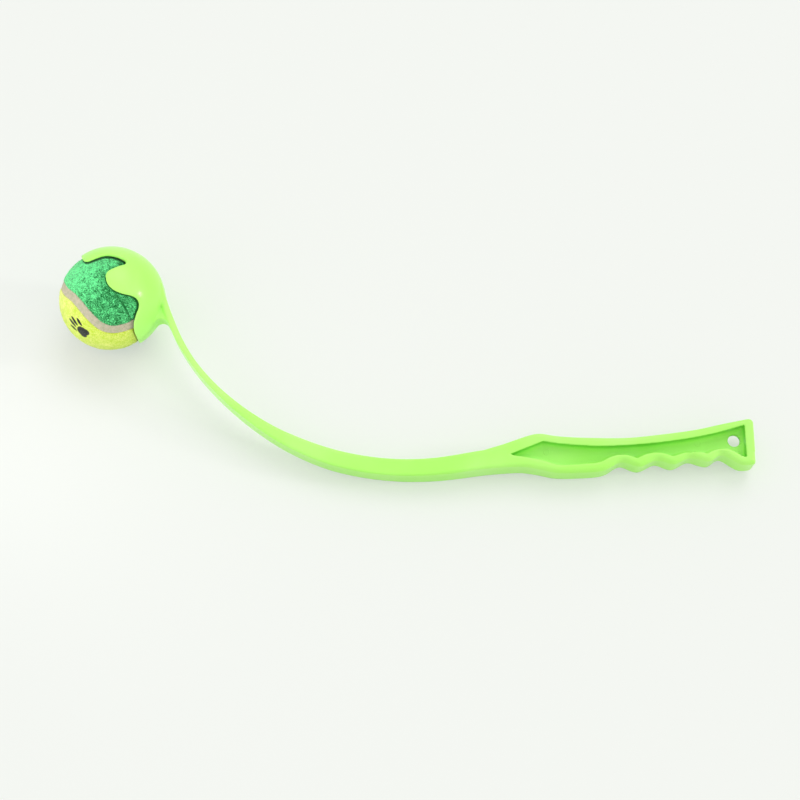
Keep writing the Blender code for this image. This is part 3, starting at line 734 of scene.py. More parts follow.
field, field_low = grid_of_distances()
for _ in range(UNCROSS_ROUNDS):
    filled = uncross(field)
    print("crossed squares filled:", filled)
    if not filled:
        break
points, squares = surface_net(field, field_low)
points = settle(points, 2)
mesh = bpy.data.meshes.new("launcher_moulding")
mesh.from_pydata([LAUNCHER @ Vector(point) for point in points], [], squares.tolist())
mark_points(mesh, "under_lip", under_lip(points))
mark_points(mesh, "near_rim", near_rim(points))
mesh.update()
mesh.shade_smooth()
moulding = new_object("launcher_moulding", mesh)
print("moulding:", len(points), "points,", len(squares), "squares")

# %% [markdown]
# ## The seam of a felt ball
# Two felt panels of one dog-bone shape cover the ball, and a rubber cement line runs between them.
# The line is a closed wave on the sphere that one formula gives. Panels are glued on by hand, so
# the real line wanders from the wave by a millimetre or two, and a few chosen turns aside say
# where. A line beside it, turned aside by a small angle, is the edge of a panel. Each panel is a
# row of arcs from one side of its edge to the other, so it closes neatly without a cut.

# %% Seam line and places on the ball
FELT_THICKNESS = 0.003
SEAM_WIDTH = 0.0062
SEAM_RECESS = 0.0006
SEAM_WAVE_SHARE = 0.74
SEAM_TURN = (math.radians(98.3), math.radians(-38.5), math.radians(38.7))
FELT_INNER_RADIUS = BALL_RADIUS - FELT_THICKNESS
# Degrees along the wave, and how far aside the seam lies there in mm
SEAM_WANDER = (
    (0, 0), (22, 0), (40, -0.9), (51, -1.2), (56, -0.9), (60, -0.3), (64.5, 0.7), (69, 1.25),
    (74, 1.1), (78, 0.5), (84, -0.4), (90, -0.95), (95, -1.0), (100, -0.4), (105, 0.8),
    (111, 2.2), (120, 2.2), (138, 0), (160, 0), (360, 0),
)

BALL_TURN = (Matrix.Rotation(SEAM_TURN[2], 4, "Z") @ Matrix.Rotation(SEAM_TURN[1], 4, "Y")
             @ Matrix.Rotation(SEAM_TURN[0], 4, "X"))
HALF_TURN = Matrix.Rotation(math.pi, 4, "X")


def seam_wander(t):
    """Angle by which the glued seam lies beside its wave."""
    line = smooth_line(SEAM_WANDER, 6)
    return np.interp(np.degrees(t) % 360, *line.T) / 1000 / BALL_RADIUS


def seam_direction(t, aside):
    """Directions from the ball's centre to the seam's wave, or to a line beside it by an angle."""
    a = SEAM_WAVE_SHARE
    b = 1 - a
    c = 2 * math.sqrt(a * b)
    on_seam = np.stack([a * np.cos(t) + b * np.cos(3 * t), a * np.sin(t) - b * np.sin(3 * t),
                        c * np.sin(2 * t)], -1)
    onward = np.stack([-a * np.sin(t) - 3 * b * np.sin(3 * t), a * np.cos(t) - 3 * b * np.cos(3 * t),
                       2 * c * np.cos(2 * t)], -1)
    beside = np.cross(on_seam, onward)
    beside /= np.linalg.norm(beside, axis=-1)[..., None]
    aside = np.asarray(aside)[..., None]
    return on_seam * np.cos(aside) + beside * np.sin(aside)

# %% [markdown]
# ## Felt panels
# Felt is a soft cut sheet: its edge is a little ragged and rolls down to the cement, and its face
# is lumpy. The panel is a closed shell with a fine outer face. Perlin noise at two sizes moves the
# face up and down by a fraction of a millimetre. On the green panel, a thumb has parted the nap
# beside the cup, which leaves a short crease. Each point also carries its distance from the cup's
# rim, which places the painted shade that runs along the rim.

# %% Felt sizes
FELT_RINGS = 220
FELT_COLUMNS = 96
FELT_INNER_COLUMNS = 8
FELT_REST = 0.00025
FELT_EDGE_ROLL = 0.0013
FELT_EDGE_DROP = 0.0011
FELT_EDGE_OVERLAP = 0.0002
EDGE_RAGGED = 0.00036
EDGE_RAGGED_TURNS = 40
LUMP_SIZE = 0.0021
LUMP_HEIGHT = 0.00016
TUFT_SIZE = 0.0007
TUFT_HEIGHT = 0.0001
CREASE_PIXELS = ((116.8, 294.6), (132, 320.8))
CREASE_WIDTH = 0.0011
CREASE_DEPTH = 0.0007
print("felt panel of", FELT_RINGS, "rings with", FELT_COLUMNS + 1, "points on the face")

# %% Lumps and distances over the ball


def lumps(directions, size, phase):
    """Perlin noise between -1 and 1 over the ball."""
    shift = Vector((phase, -phase, phase * 2))
    return np.array([noise.noise(Vector(direction) * (BALL_RADIUS / size) + shift)
                     for direction in directions])


def segment_distance(directions, ends):
    """Distance over the ball to the short line between two directions."""
    a, b = (np.array(end) for end in ends)
    span = b - a
    t = np.clip((directions - a) @ span / (span @ span), 0, 1)
    return np.linalg.norm(directions - a - t[:, None] * span, axis=1) * BALL_RADIUS


def distance_from_rim(directions, turn):
    """How far the panel's points lie outside the cup's rim, in mm; below zero under the cup."""
    x, y, z = (directions @ np.array(turn.to_3x3()).T * BALL_RADIUS).T
    return rim_distance(x, y, np.abs(z), np.full(len(x), BALL_RADIUS)) * 1000


def felt_radius(flat, edges, phase, crease):
    """The face's distance from the ball's centre: rolled down at its edges, lumpy and creased."""
    rim = edges[::2]
    to_edge = np.min([np.linalg.norm(flat - point, axis=1) for point in rim], axis=0) * BALL_RADIUS
    roll = (1 - np.clip(to_edge / FELT_EDGE_ROLL, 0, 1)) ** 2
    radius = (BALL_RADIUS - FELT_REST - FELT_EDGE_DROP * roll
              + LUMP_HEIGHT * lumps(flat, LUMP_SIZE, phase)
              + TUFT_HEIGHT * lumps(flat, TUFT_SIZE, phase + 7))
    if crease:
        near = segment_distance(flat, crease) / CREASE_WIDTH
        radius -= CREASE_DEPTH * np.exp(-near ** 2) - CREASE_DEPTH / 2 * np.exp(-(near - 1.6) ** 2)
    return radius


# %% Felt panel


def felt_panel(name, turn, side, phase, crease=()):
    """A closed felt panel in the launcher's axes; its outer face is marked for the nap.

    The panel lies on one side (1) of the wave, or on the other (-1) with its place turned over.
    """
    swing = (1 - np.cos(np.pi * np.linspace(0.02, 0.98, FELT_RINGS))) / 2
    t = -math.pi / 4 + math.pi * swing
    ragged = np.array([noise.noise(Vector((math.cos(v), math.sin(v), phase)) * EDGE_RAGGED_TURNS)
                       for v in t])
    aside = (SEAM_WIDTH / 2 - FELT_EDGE_OVERLAP + EDGE_RAGGED * ragged) / BALL_RADIUS
    mirrored = -math.pi / 2 - t
    edge = seam_direction(t, aside + side * seam_wander(side * t))
    other = seam_direction(mirrored, aside + side * seam_wander(side * mirrored))
    angle = np.arccos(np.clip((edge * other).sum(1), -1, 1))[:, None, None]

    def arcs(columns):
        share = np.linspace(0, 1, columns + 1)[None, :, None]
        return ((np.sin((1 - share) * angle) * edge[:, None] + np.sin(share * angle) * other[:, None])
                / np.sin(angle))

    outer = arcs(FELT_COLUMNS)
    flat = outer.reshape(-1, 3)
    crease = [turn.to_3x3().inverted() @ end for end in crease]
    radius = felt_radius(flat, np.vstack([edge, other]), phase, crease)
    face = (flat * radius[:, None]).reshape(FELT_RINGS, FELT_COLUMNS + 1, 3)
    back = arcs(FELT_INNER_COLUMNS)[:, ::-1] * FELT_INNER_RADIUS
    rings = np.concatenate([face, back], axis=1)
    count = rings.shape[1]
    number = np.arange(FELT_RINGS * count).reshape(FELT_RINGS, count)
    after = np.roll(number, -1, axis=1)
    quads = np.stack([number[:-1], after[:-1], after[1:], number[1:]], -1).reshape(-1, 4).tolist()
    quads += [number[0, ::-1].tolist(), number[-1].tolist()]
    mesh = bpy.data.meshes.new(name)
    mesh.from_pydata(rings.reshape(-1, 3), [], quads)
    mark_points(mesh, "nap", np.tile(np.arange(count) <= FELT_COLUMNS, FELT_RINGS))
    directions = rings.reshape(-1, 3)
    directions = directions / np.linalg.norm(directions, axis=1)[:, None]
    mark_points(mesh, "from_rim", distance_from_rim(directions, turn))
    bm = bmesh.new()
    bm.from_mesh(mesh)
    bmesh.ops.recalc_face_normals(bm, faces=bm.faces)
    bm.to_mesh(mesh)
    bm.free()
    mesh.shade_smooth()
    mesh.transform(turn)
    print(name, "rises to", round((radius.max() - BALL_RADIUS) * 1000, 2), "mm over the ball")
    return mesh


# %% Make both felt panels
crease = [on_ball(pixel) for pixel in CREASE_PIXELS]
green_mesh = felt_panel("green_felt", BALL_TURN @ HALF_TURN, -1, 3, crease)
yellow_mesh = felt_panel("yellow_felt", BALL_TURN, 1, 11)


# %% [markdown]
# ## The nap
# Thousands of fine curled fibres stand on the felt and lean the way they were brushed. This is the
# kind of work that Geometry Nodes are for: scatter points over the face, turn each fibre by a
# random lean and a slow swirl, and stand a small bent cone on every point. The tree is made for a
# ball around the origin, so "outwards" is the way from the origin to the point. Its result becomes
# a plain mesh, because the export drops instances.

# %% Maths nodes


def vector_math(tree, operation, first, second=None, scale=None):
    """A Vector Math node between sockets or written vectors."""
    node = add_node(tree, "ShaderNodeVectorMath", operation=operation)
    for index, value in ((0, first), (1, second), (3, scale)):
        feed(tree, node.inputs[index], value)
    return node.outputs["Value" if operation in ("LENGTH", "DOT_PRODUCT") else "Vector"]


def number_math(tree, operation, *values, clamp=False):
    """A Math node between sockets or written numbers."""
    node = add_node(tree, "ShaderNodeMath", operation=operation, use_clamp=clamp)
    for socket, value in zip(node.inputs, values):
        feed(tree, socket, value)
    return node.outputs[0]


def random_value(tree, kind, low, high, seed):
    """A Random Value node between two numbers or vectors."""
    node = add_node(tree, "FunctionNodeRandomValue", data_type=kind, Seed=seed)
    sockets = [socket for socket in node.inputs if socket.enabled]
    sockets[0].default_value, sockets[1].default_value = low, high
    return next(socket for socket in node.outputs if socket.enabled)


def end_tree(tree, geometry, given, result):
    """The end of a tree: real instances, painted with its Material input."""
    real = add_node(tree, "GeometryNodeRealizeInstances", Geometry=geometry)
    paint = add_node(tree, "GeometryNodeSetMaterial", Geometry=real.outputs[0], Material=given["Material"])
    feed(tree, result.inputs[0], paint.outputs[0])


# %% Nap tree
SWIRL_STRENGTH = 5.0
STRAY_STRENGTH = 0.8
CURL_SHARE = 0.3
LEAN_SPREAD = (0.8, 1.1)
LENGTH_SPREAD = (0.55, 1.15)
STRAY_SEED, LEAN_SEED, LENGTH_SEED = 5, 6, 8


def nap_tree():
    """Fibres over the marked face of a felt panel around the origin."""
    tree, given, result = new_tree(
        "felt_nap", "GeometryNodeTree",
        {"Felt": "Geometry", "Fibres per Area": "Float", "Length": "Float", "Root Radius": "Float",
         "Lean": "Float", "Swirl Size": "Float", "Seed": "Int", "Material": "Material"},
        {"Result": "Geometry"})
    marked = add_node(tree, "GeometryNodeInputNamedAttribute", data_type="FLOAT", Name="nap")
    density = number_math(tree, "MULTIPLY", marked.outputs["Attribute"], given["Fibres per Area"])
    scatter = add_node(tree, "GeometryNodeDistributePointsOnFaces", Mesh=given["Felt"], Density=density,
                       Seed=given["Seed"])
    place = add_node(tree, "GeometryNodeInputPosition").outputs[0]
    outward = vector_math(tree, "NORMALIZE", place)
    swirl = add_node(tree, "ShaderNodeTexNoise", Detail=1.0, Vector=place,
                     Scale=number_math(tree, "DIVIDE", 1.0, given["Swirl Size"]))
    brushed = vector_math(tree, "SUBTRACT", swirl.outputs["Color"], (0.5, 0.5, 0.5))
    stray = random_value(tree, "FLOAT_VECTOR", (-1, -1, -1), (1, 1, 1), STRAY_SEED)
    brushed = vector_math(tree, "ADD", vector_math(tree, "SCALE", brushed, scale=SWIRL_STRENGTH),
                          vector_math(tree, "SCALE", stray, scale=STRAY_STRENGTH))
    sideways = vector_math(tree, "NORMALIZE", vector_math(tree, "CROSS_PRODUCT", outward, brushed))
    lean_share = random_value(tree, "FLOAT", *LEAN_SPREAD, LEAN_SEED)
    lean = number_math(tree, "MULTIPLY", given["Lean"], lean_share)
    pointing = vector_math(
        tree, "ADD", vector_math(tree, "SCALE", outward, scale=number_math(tree, "COSINE", lean)),
        vector_math(tree, "SCALE", sideways, scale=number_math(tree, "SINE", lean)))
    stand = add_node(tree, "FunctionNodeAlignRotationToVector", axis="Z", Vector=pointing)
    fibre = add_node(tree, "GeometryNodeMeshCone", Vertices=3, Side_Segments=2, Radius_Top=0.0,
                     Radius_Bottom=given["Root Radius"], Depth=given["Length"])
    height = add_node(tree, "ShaderNodeSeparateXYZ", Vector=place).outputs["Z"]
    rise = number_math(tree, "POWER", number_math(tree, "DIVIDE", height, given["Length"]), 2.0)
    curl = number_math(tree, "MULTIPLY", rise, number_math(tree, "MULTIPLY", given["Length"], CURL_SHARE))
    bend = add_node(tree, "GeometryNodeSetPosition", Geometry=fibre.outputs["Mesh"],
                    Offset=add_node(tree, "ShaderNodeCombineXYZ", X=curl).outputs[0])
    plant = add_node(tree, "GeometryNodeInstanceOnPoints", Points=scatter.outputs["Points"],
                     Instance=bend.outputs[0], Rotation=stand.outputs["Rotation"],
                     Scale=random_value(tree, "FLOAT", *LENGTH_SPREAD, LENGTH_SEED))
    end_tree(tree, plant.outputs[0], given, result)
    return tree


NAP = nap_tree()
print("nap tree with", len(NAP.nodes), "nodes")

# %% Run a tree


def grow(name, source, tree, **values):
    """Run a tree on a mesh or curve and keep its result as a plain mesh."""
    carrier = new_object(name + "_carrier", source)
    modifier = carrier.modifiers.new("grow", "NODES")
    modifier.node_group = tree
    for socket in tree.interface.items_tree:
        key = socket.name.replace(" ", "_")
        if key in values:
            modifier[socket.identifier] = values[key]
    depsgraph = bpy.context.evaluated_depsgraph_get()
    mesh = bpy.data.meshes.new_from_object(carrier.evaluated_get(depsgraph))
    bpy.data.objects.remove(carrier)
    mesh.name = name
    return mesh


# %% [markdown]
# ## Textures for felt, cement and plastic
# Felt colour comes in clumps: matted spots sit dark, and brushed tips catch the light. Two sizes of
# noise, one of them warped into short worms, give that pattern. The same group serves both felts,
# with their own colours, and takes an input of painted light that moves the felt towards its
# brushed or matted tone. A second group gives dust and fine scuffs to the plastic and the cement.

# %% Pattern nodes


def noise_field(tree, vector, size, detail=2.0, roughness=0.5, distortion=0.0):
    """Noise whose features have about a given size in metres."""
    linked = isinstance(size, bpy.types.NodeSocket)
    scale = number_math(tree, "DIVIDE", 1.0, size) if linked else 1 / size
    return add_node(tree, "ShaderNodeTexNoise", Vector=vector, Scale=scale, Detail=detail,
                    Roughness=roughness, Distortion=distortion).outputs["Fac"]


def remap(tree, value, low, high, to_low=0.0, to_high=1.0):
    """A smooth step of a value from one range to another."""
    return add_node(tree, "ShaderNodeMapRange", interpolation_type="SMOOTHSTEP", Value=value, From_Min=low,
                    From_Max=high, To_Min=to_low, To_Max=to_high).outputs["Result"]


def blend_colours(tree, factor, first, second):
    """A mix of two colours by a factor; each may be a socket or a written colour."""
    node = add_node(tree, "ShaderNodeMix", data_type="RGBA", Factor=factor)
    colours = [socket for socket in node.inputs if socket.type == "RGBA"]
    for socket, value in zip(colours, (first, second)):
        feed(tree, socket, value)
    return next(socket for socket in node.outputs if socket.type == "RGBA")


def attribute(tree, name):
    """A number that each point of the mesh carries."""
    return add_node(tree, "ShaderNodeAttribute", attribute_name=name).outputs["Fac"]


def in_axes(tree, coordinates, matrix):
    """Coordinates along the axes of a matrix, through a Mapping node."""
    inverse = matrix.inverted()
    return add_node(tree, "ShaderNodeMapping", Vector=coordinates, Location=inverse.translation,
                    Rotation=inverse.to_euler("XYZ")).outputs[0]


def bump(tree, height, distance, strength=1.0, below=None):
    """A normal from a height, on top of another one if there is one."""
    return add_node(tree, "ShaderNodeBump", Height=height, Distance=distance, Strength=strength,
                    Normal=below).outputs[0]


# %% Shared shader groups
TUFT_SHARE, CLUMP_SHARE = 0.8, 0.2
# How far painted light moves the felt towards its brushed or matted tone
PAINTED_LIGHT_SHARE = 0.06
MATTED_TO_BRUSHED = (0.435, 0.575)


def felt_group():
    """Matted and brushed felt, with painted light from an input: a colour, a height and a roughness."""
    group, given, result = new_tree(
        "napped_felt", "ShaderNodeTree",
        {"Vector": "Vector", "Matted": "Color", "Brushed": "Color", "Clump Size": "Float",
         "Tuft Size": "Float", "Brushing": "Float"},
        {"Colour": "Color", "Height": "Float", "Roughness": "Float"})
    clump = noise_field(group, given["Vector"], given["Clump Size"])
    tuft = noise_field(group, given["Vector"], given["Tuft Size"], detail=3.0, roughness=0.6,
                       distortion=1.5)
    both = number_math(group, "ADD", number_math(group, "MULTIPLY", tuft, TUFT_SHARE),
                       number_math(group, "MULTIPLY", clump, CLUMP_SHARE))
    # Painted light: this input lightens one side of the ball and darkens the other
    tufts_and_painted_light = number_math(group, "MULTIPLY_ADD", given["Brushing"], PAINTED_LIGHT_SHARE, both)
    brushed = remap(group, tufts_and_painted_light, *MATTED_TO_BRUSHED)
    fill(group, result, Colour=blend_colours(group, brushed, given["Matted"], given["Brushed"]),
         Height=tuft, Roughness=remap(group, clump, 0.3, 0.7, 0.98, 0.88))
    return group


def handling_group():
    """Dust in soft spots and fine scuffs in all directions."""
    group, given, result = new_tree(
        "handling_marks", "ShaderNodeTree",
        {"Vector": "Vector", "Dust Size": "Float", "Scuff Size": "Float"},
        {"Dust": "Float", "Scuffs": "Float"})
    soft = noise_field(group, given["Vector"], given["Dust Size"], detail=4.0, roughness=0.6)
    stretched = add_node(group, "ShaderNodeMapping", Vector=given["Vector"], Scale=(1.0, 7.0, 3.0),
                         Rotation=(0.3, 0.5, 0.7)).outputs[0]
    fine = noise_field(group, stretched, given["Scuff Size"], detail=5.0, roughness=0.7, distortion=0.4)
    fill(group, result, Dust=remap(group, soft, 0.5, 0.75), Scuffs=remap(group, fine, 0.6, 0.7))
    return group


FELT_TEXTURE = felt_group()
HANDLING = handling_group()
print("shader groups:", FELT_TEXTURE.name, HANDLING.name)


def handling(tree, coordinates, dust_size, scuff_size):
    """The handling group in a material, with its own sizes in metres."""
    return add_node(tree, "ShaderNodeGroup", node_tree=HANDLING, Vector=coordinates, Dust_Size=dust_size,
                    Scuff_Size=scuff_size).outputs


# %% [markdown]
# ## Felt materials and the paw print
# A small paw print is stamped on the yellow panel: one broad pad and four long toes. It is drawn
# from ellipses in a frame that stands on the ball where the print is. Each ellipse is a distance,
# the nearest one wins, and the ink covers only the tops of the tufts, as ink on felt does. The
# parted nap on the green panel shows its matted roots. Along and just under the cup's rim the felt
# is darkened with painted shade, which draws the dark line along the rim. Both felts also get
# painted light: lighter towards one side of the ball and darker on the other.

# %% Paw print and crease
PAW_PIXEL = (78.6, 328.4)
PAW_TOE_PIXEL = (72.0, 320.3)
# Each pad: its centre, its half width and half length in mm, and its tilt in degrees
PAW_PADS = (
    (0, -3.0, 3.8, 3.9, 0), (-1.9, -4.9, 2.5, 2.5, 20), (1.9, -4.9, 2.5, 2.5, -20),
    (-1.45, 5.3, 1.1, 3.4, 5), (1.45, 5.3, 1.1, 3.4, -5),
    (-4.6, 2.6, 1.0, 2.9, 12), (4.6, 2.6, 1.0, 2.9, -12),
)
# The pads reach this far into the ball and out of it
PAW_DEPTH = BALL_RADIUS * 0.4


def paw_mask(tree, coordinates, height):
    """One inside the paw print and zero outside it."""
    outward = on_ball(PAW_PIXEL)
    toes = on_ball(PAW_TOE_PIXEL) - outward
    toes = (toes - outward * toes.dot(outward)).normalized()
    axes = axes_at(toes.cross(outward), toes, outward, outward * BALL_RADIUS)
    local = in_axes(tree, coordinates, LAUNCHER @ axes)
    nearest = None
    for x, y, half_width, half_length, tilt in PAW_PADS:
        pad = Matrix.Translation((x / 1000, y / 1000, 0)) @ Matrix.Rotation(math.radians(tilt), 4, "Z")
        shape = vector_math(tree, "MULTIPLY", in_axes(tree, local, pad),
                            (1000 / half_width, 1000 / half_length, 1 / PAW_DEPTH))
        distance = vector_math(tree, "LENGTH", shape)
        nearest = number_math(tree, "MINIMUM", nearest, distance) if nearest else distance
    worn = number_math(tree, "MULTIPLY_ADD", height, -0.5, number_math(tree, "ADD", nearest, 0.2))
    return remap(tree, worn, 1.06, 0.9)


def crease_mask(tree, coordinates):
    """One along the parted nap, where its matted roots show."""
    first, last = (on_ball(pixel) * BALL_RADIUS for pixel in CREASE_PIXELS)
    outward = (first + last).normalized()
    onward = (last - first).normalized()
    axes = axes_at(onward.cross(outward), onward, outward, (first + last) / 2)
    shape = vector_math(tree, "MULTIPLY", in_axes(tree, coordinates, LAUNCHER @ axes),
                        (1 / CREASE_WIDTH, 2 / (last - first).length, 0))
    return remap(tree, vector_math(tree, "LENGTH", shape), 1.0, 0.4)


# %% Felt materials
GREEN = {"Matted": (0.003, 0.15, 0.028, 1), "Brushed": (0.18, 0.99, 0.36, 1)}
# Painted shade on the green felt along the cup's rim
GREEN_RIM_SHADE = (0.01, 0.17, 0.035, 1)
YELLOW = {"Matted": (0.62, 0.82, 0.04, 1), "Brushed": (0.96, 1.0, 0.29, 1)}
# Painted shade on the yellow felt along the cup's rim
YELLOW_RIM_SHADE = (0.4, 0.45, 0.02, 1)
INK = (0.012, 0.015, 0.012, 1)
# Millimetres outside the rim where the painted shade starts and where it is full, and the same inside
RIM_SHADE_OUTSIDE = (0.72, 0.35)
RIM_SHADE_INSIDE = (-2.6, -1.2)
# Pixel of the side of the ball that gets painted light
LIT_SIDE_PIXEL = (72, 272)
CLUMP_SIZE = 0.004
WORM_SIZE = 0.00072


def felt_material(name, colours, felt_rim_shade, sheen, print_paw):
    """A felt of two tones with painted light towards one side and painted shade along the cup's rim, with
    the paw print or with the crease.
    """
    material, tree, shader, coordinates = new_material(
        name, Specular_IOR_Level=0.15, Sheen_Weight=sheen, Sheen_Roughness=0.5)
    # Painted light: the felt is lighter towards one side of the ball and darker away from it
    toward = vector_math(tree, "DOT_PRODUCT", in_axes(tree, coordinates, LAUNCHER),
                         on_ball(LIT_SIDE_PIXEL) / BALL_RADIUS)
    lit_side_share = remap(tree, toward, 0.45, 1.0, -0.4, 0.9)
    felt = add_node(tree, "ShaderNodeGroup", node_tree=FELT_TEXTURE, Vector=coordinates,
                    Clump_Size=CLUMP_SIZE, Tuft_Size=WORM_SIZE, Brushing=lit_side_share, **colours).outputs
    colour = felt["Colour"]
    if not print_paw:
        parted = number_math(tree, "MULTIPLY", crease_mask(tree, coordinates), 0.85)
        colour = blend_colours(tree, parted, colour, colours["Matted"])
    # Painted shade: a dark band on the felt along and just under the cup's rim
    from_rim = attribute(tree, "from_rim")
    rim_shade_share = number_math(tree, "MULTIPLY", remap(tree, from_rim, *RIM_SHADE_OUTSIDE, 0.0, 0.9),
                            remap(tree, from_rim, *RIM_SHADE_INSIDE))
    colour = blend_colours(tree, rim_shade_share, colour, felt_rim_shade)
    if print_paw:
        colour = blend_colours(tree, paw_mask(tree, coordinates, felt["Height"]), colour, INK)
    fill(tree, shader, Base_Color=colour, Roughness=felt["Roughness"],
         Normal=bump(tree, felt["Height"], distance=0.0006, strength=0.8))
    return material


green_felt_material = felt_material("green_felt", GREEN, GREEN_RIM_SHADE, 0.22, False)
yellow_felt_material = felt_material("yellow_felt", YELLOW, YELLOW_RIM_SHADE, 0.3, True)
print("felt materials:", green_felt_material.name, yellow_felt_material.name)

# %% Felt and nap objects
FIBRES_PER_AREA = 2.3e6
FIBRE_LENGTH = 0.0011
FIBRE_ROOT_RADIUS = 0.00004
FIBRE_LEAN = math.radians(66)
SWIRL_SIZE = 0.006


def dress_ball(felt_name, nap_name, mesh, node, material, seed):
    """A felt panel with its nap, in the place of a plain CAD panel."""
    mesh.materials.append(material)
    nap = grow(nap_name, mesh.copy(), NAP, Fibres_per_Area=FIBRES_PER_AREA, Length=FIBRE_LENGTH,
               Root_Radius=FIBRE_ROOT_RADIUS, Lean=FIBRE_LEAN, Swirl_Size=SWIRL_SIZE, Seed=seed,
               Material=material)
    for name, piece_mesh in ((felt_name, mesh), (nap_name, nap)):
        piece_mesh.transform(LAUNCHER)
        piece = new_object(name, piece_mesh)
        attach(piece, "ball")
        if piece_mesh is mesh:
            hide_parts(node)
        print(name, "has", len(piece_mesh.polygons), "faces")


dress_ball("green_felt", "green_nap", green_mesh, "green_felt_panel", green_felt_material, 21)
dress_ball("yellow_felt", "yellow_nap", yellow_mesh, "yellow_felt_panel", yellow_felt_material, 34)

# %% [markdown]
# ## The cement seam
# Between the panels lies a flat band of rubber cement, a little lower than the felt. It follows
# one path round the ball, so it is a sweep: Geometry Nodes carry a rounded strip along the seam's
# line, with the strip's top turned outwards all the way, and then push the surface in and out by
# a few hundredths of a millimetre.

# %% Seam sweep
SEAM_STEPS = 420
SEAM_DEPTH = 0.0024
SEAM_CORNER = 0.0005
CEMENT_LUMP_HEIGHT = 0.00012
CEMENT_LUMP_SIZE = 0.0012


def seam_tree():
    """A rounded strip along a curve round the origin, with its top outwards."""
    tree, given, result = new_tree(
        "cement_sweep", "GeometryNodeTree",
        {"Line": "Geometry", "Width": "Float", "Depth": "Float", "Corner": "Float",
         "Lump Height": "Float", "Lump Size": "Float", "Material": "Material"},
        {"Result": "Geometry"})
    place = add_node(tree, "GeometryNodeInputPosition").outputs[0]
    outward = vector_math(tree, "NORMALIZE", place)
    turn = add_node(tree, "GeometryNodeSetCurveNormal", mode="FREE", Curve=given["Line"], Normal=outward)
    strip = add_node(tree, "GeometryNodeCurvePrimitiveQuadrilateral", Width=given["Depth"],
                     Height=given["Width"])
    corners = add_node(tree, "GeometryNodeFilletCurve", mode="POLY", Count=3, Curve=strip.outputs[0],
                       Radius=given["Corner"])
    finer = add_node(tree, "GeometryNodeResampleCurve", Count=44, Curve=corners.outputs[0])
    sweep = add_node(tree, "GeometryNodeCurveToMesh", Curve=turn.outputs[0], Profile_Curve=finer.outputs[0])
    lump = number_math(tree, "SUBTRACT", noise_field(tree, place, given["Lump Size"]), 0.5)
    amount = number_math(tree, "MULTIPLY", lump, given["Lump Height"])
    push = add_node(tree, "GeometryNodeSetPosition", Geometry=sweep.outputs[0],
                    Offset=vector_math(tree, "SCALE", outward, scale=amount))
    end_tree(tree, push.outputs[0], given, result)
    return tree


def seam_curve(radius):
    """The seam's closed line at a radius, as a curve."""
    t = np.linspace(0, math.tau, SEAM_STEPS, endpoint=False)
    line = seam_direction(t, seam_wander(t)) * radius
    curve = bpy.data.curves.new("seam_line", "CURVE")
    curve.dimensions = "3D"
    spline = curve.splines.new("POLY")
    spline.points.add(SEAM_STEPS - 1)
    spline.points.foreach_set("co", np.column_stack([line, np.ones(SEAM_STEPS)]).ravel())
    spline.use_cyclic_u = True
    return curve


# %% Cement material and seam object
CEMENT = (0.44, 0.44, 0.29, 1)
CEMENT_PINK = (0.57, 0.49, 0.37, 1)
CEMENT_DIRT = (0.3, 0.22, 0.15, 1)


def cement_material():
    """Rubber cement: mottled, matt, with dirt in its small pits."""
    material, tree, shader, coordinates = new_material("seam_cement")
    mottle = noise_field(tree, coordinates, size=0.0022, detail=4.0, roughness=0.6)
    pits = noise_field(tree, coordinates, size=0.0007, roughness=0.6)
    colour = blend_colours(tree, remap(tree, mottle, 0.35, 0.65), CEMENT, CEMENT_PINK)
    dust = handling(tree, coordinates, dust_size=0.006, scuff_size=0.002)["Dust"]
    dirt = number_math(tree, "MULTIPLY", remap(tree, pits, 0.5, 0.64),
                       number_math(tree, "MULTIPLY_ADD", dust, 0.6, 0.25))
    fill(tree, shader, Base_Color=blend_colours(tree, dirt, colour, CEMENT_DIRT),
         Roughness=remap(tree, mottle, 0.3, 0.7, 0.82, 0.66),
         Normal=bump(tree, pits, distance=0.0003, strength=0.6))
    return material


seam_mesh = grow("cement_seam", seam_curve(BALL_RADIUS - SEAM_RECESS - SEAM_DEPTH / 2), seam_tree(),
                 Width=SEAM_WIDTH, Depth=SEAM_DEPTH, Corner=SEAM_CORNER, Lump_Height=CEMENT_LUMP_HEIGHT,
                 Lump_Size=CEMENT_LUMP_SIZE, Material=cement_material())
seam_radii = np.linalg.norm([vertex.co for vertex in seam_mesh.vertices], axis=1)
print("seam from", round(seam_radii.min() * 1000, 2), "to", round(seam_radii.max() * 1000, 2), "mm")
seam_mesh.transform(LAUNCHER @ BALL_TURN)
seam_mesh.shade_smooth()
seam = new_object("cement_seam", seam_mesh)
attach(seam, "ball")
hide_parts("seam_band")

# %% [markdown]
# ## Lime plastic
# Polypropylene from a polished mould is smooth but never perfect. Light enters it a little, so
# thin edges glow. It carries a thin line where the two mould halves met, round marks in the web
# where pins pushed it out, and a faint waviness. All of these are heights in the launcher's own
# axes, which a Mapping node gives. The cup's inner edge by the rim is painted dark: painted shade
# for the gap between rim and ball. The recess's walls get painted shade just under their sharp lip.
# Two marks on the mesh say where.

# %% Marks from the mould
PARTING_LINE = 0.00018
PIN_PIXELS = ((546.5, 452.0), (698.0, 443.5))
PIN_RADIUS = 0.0021


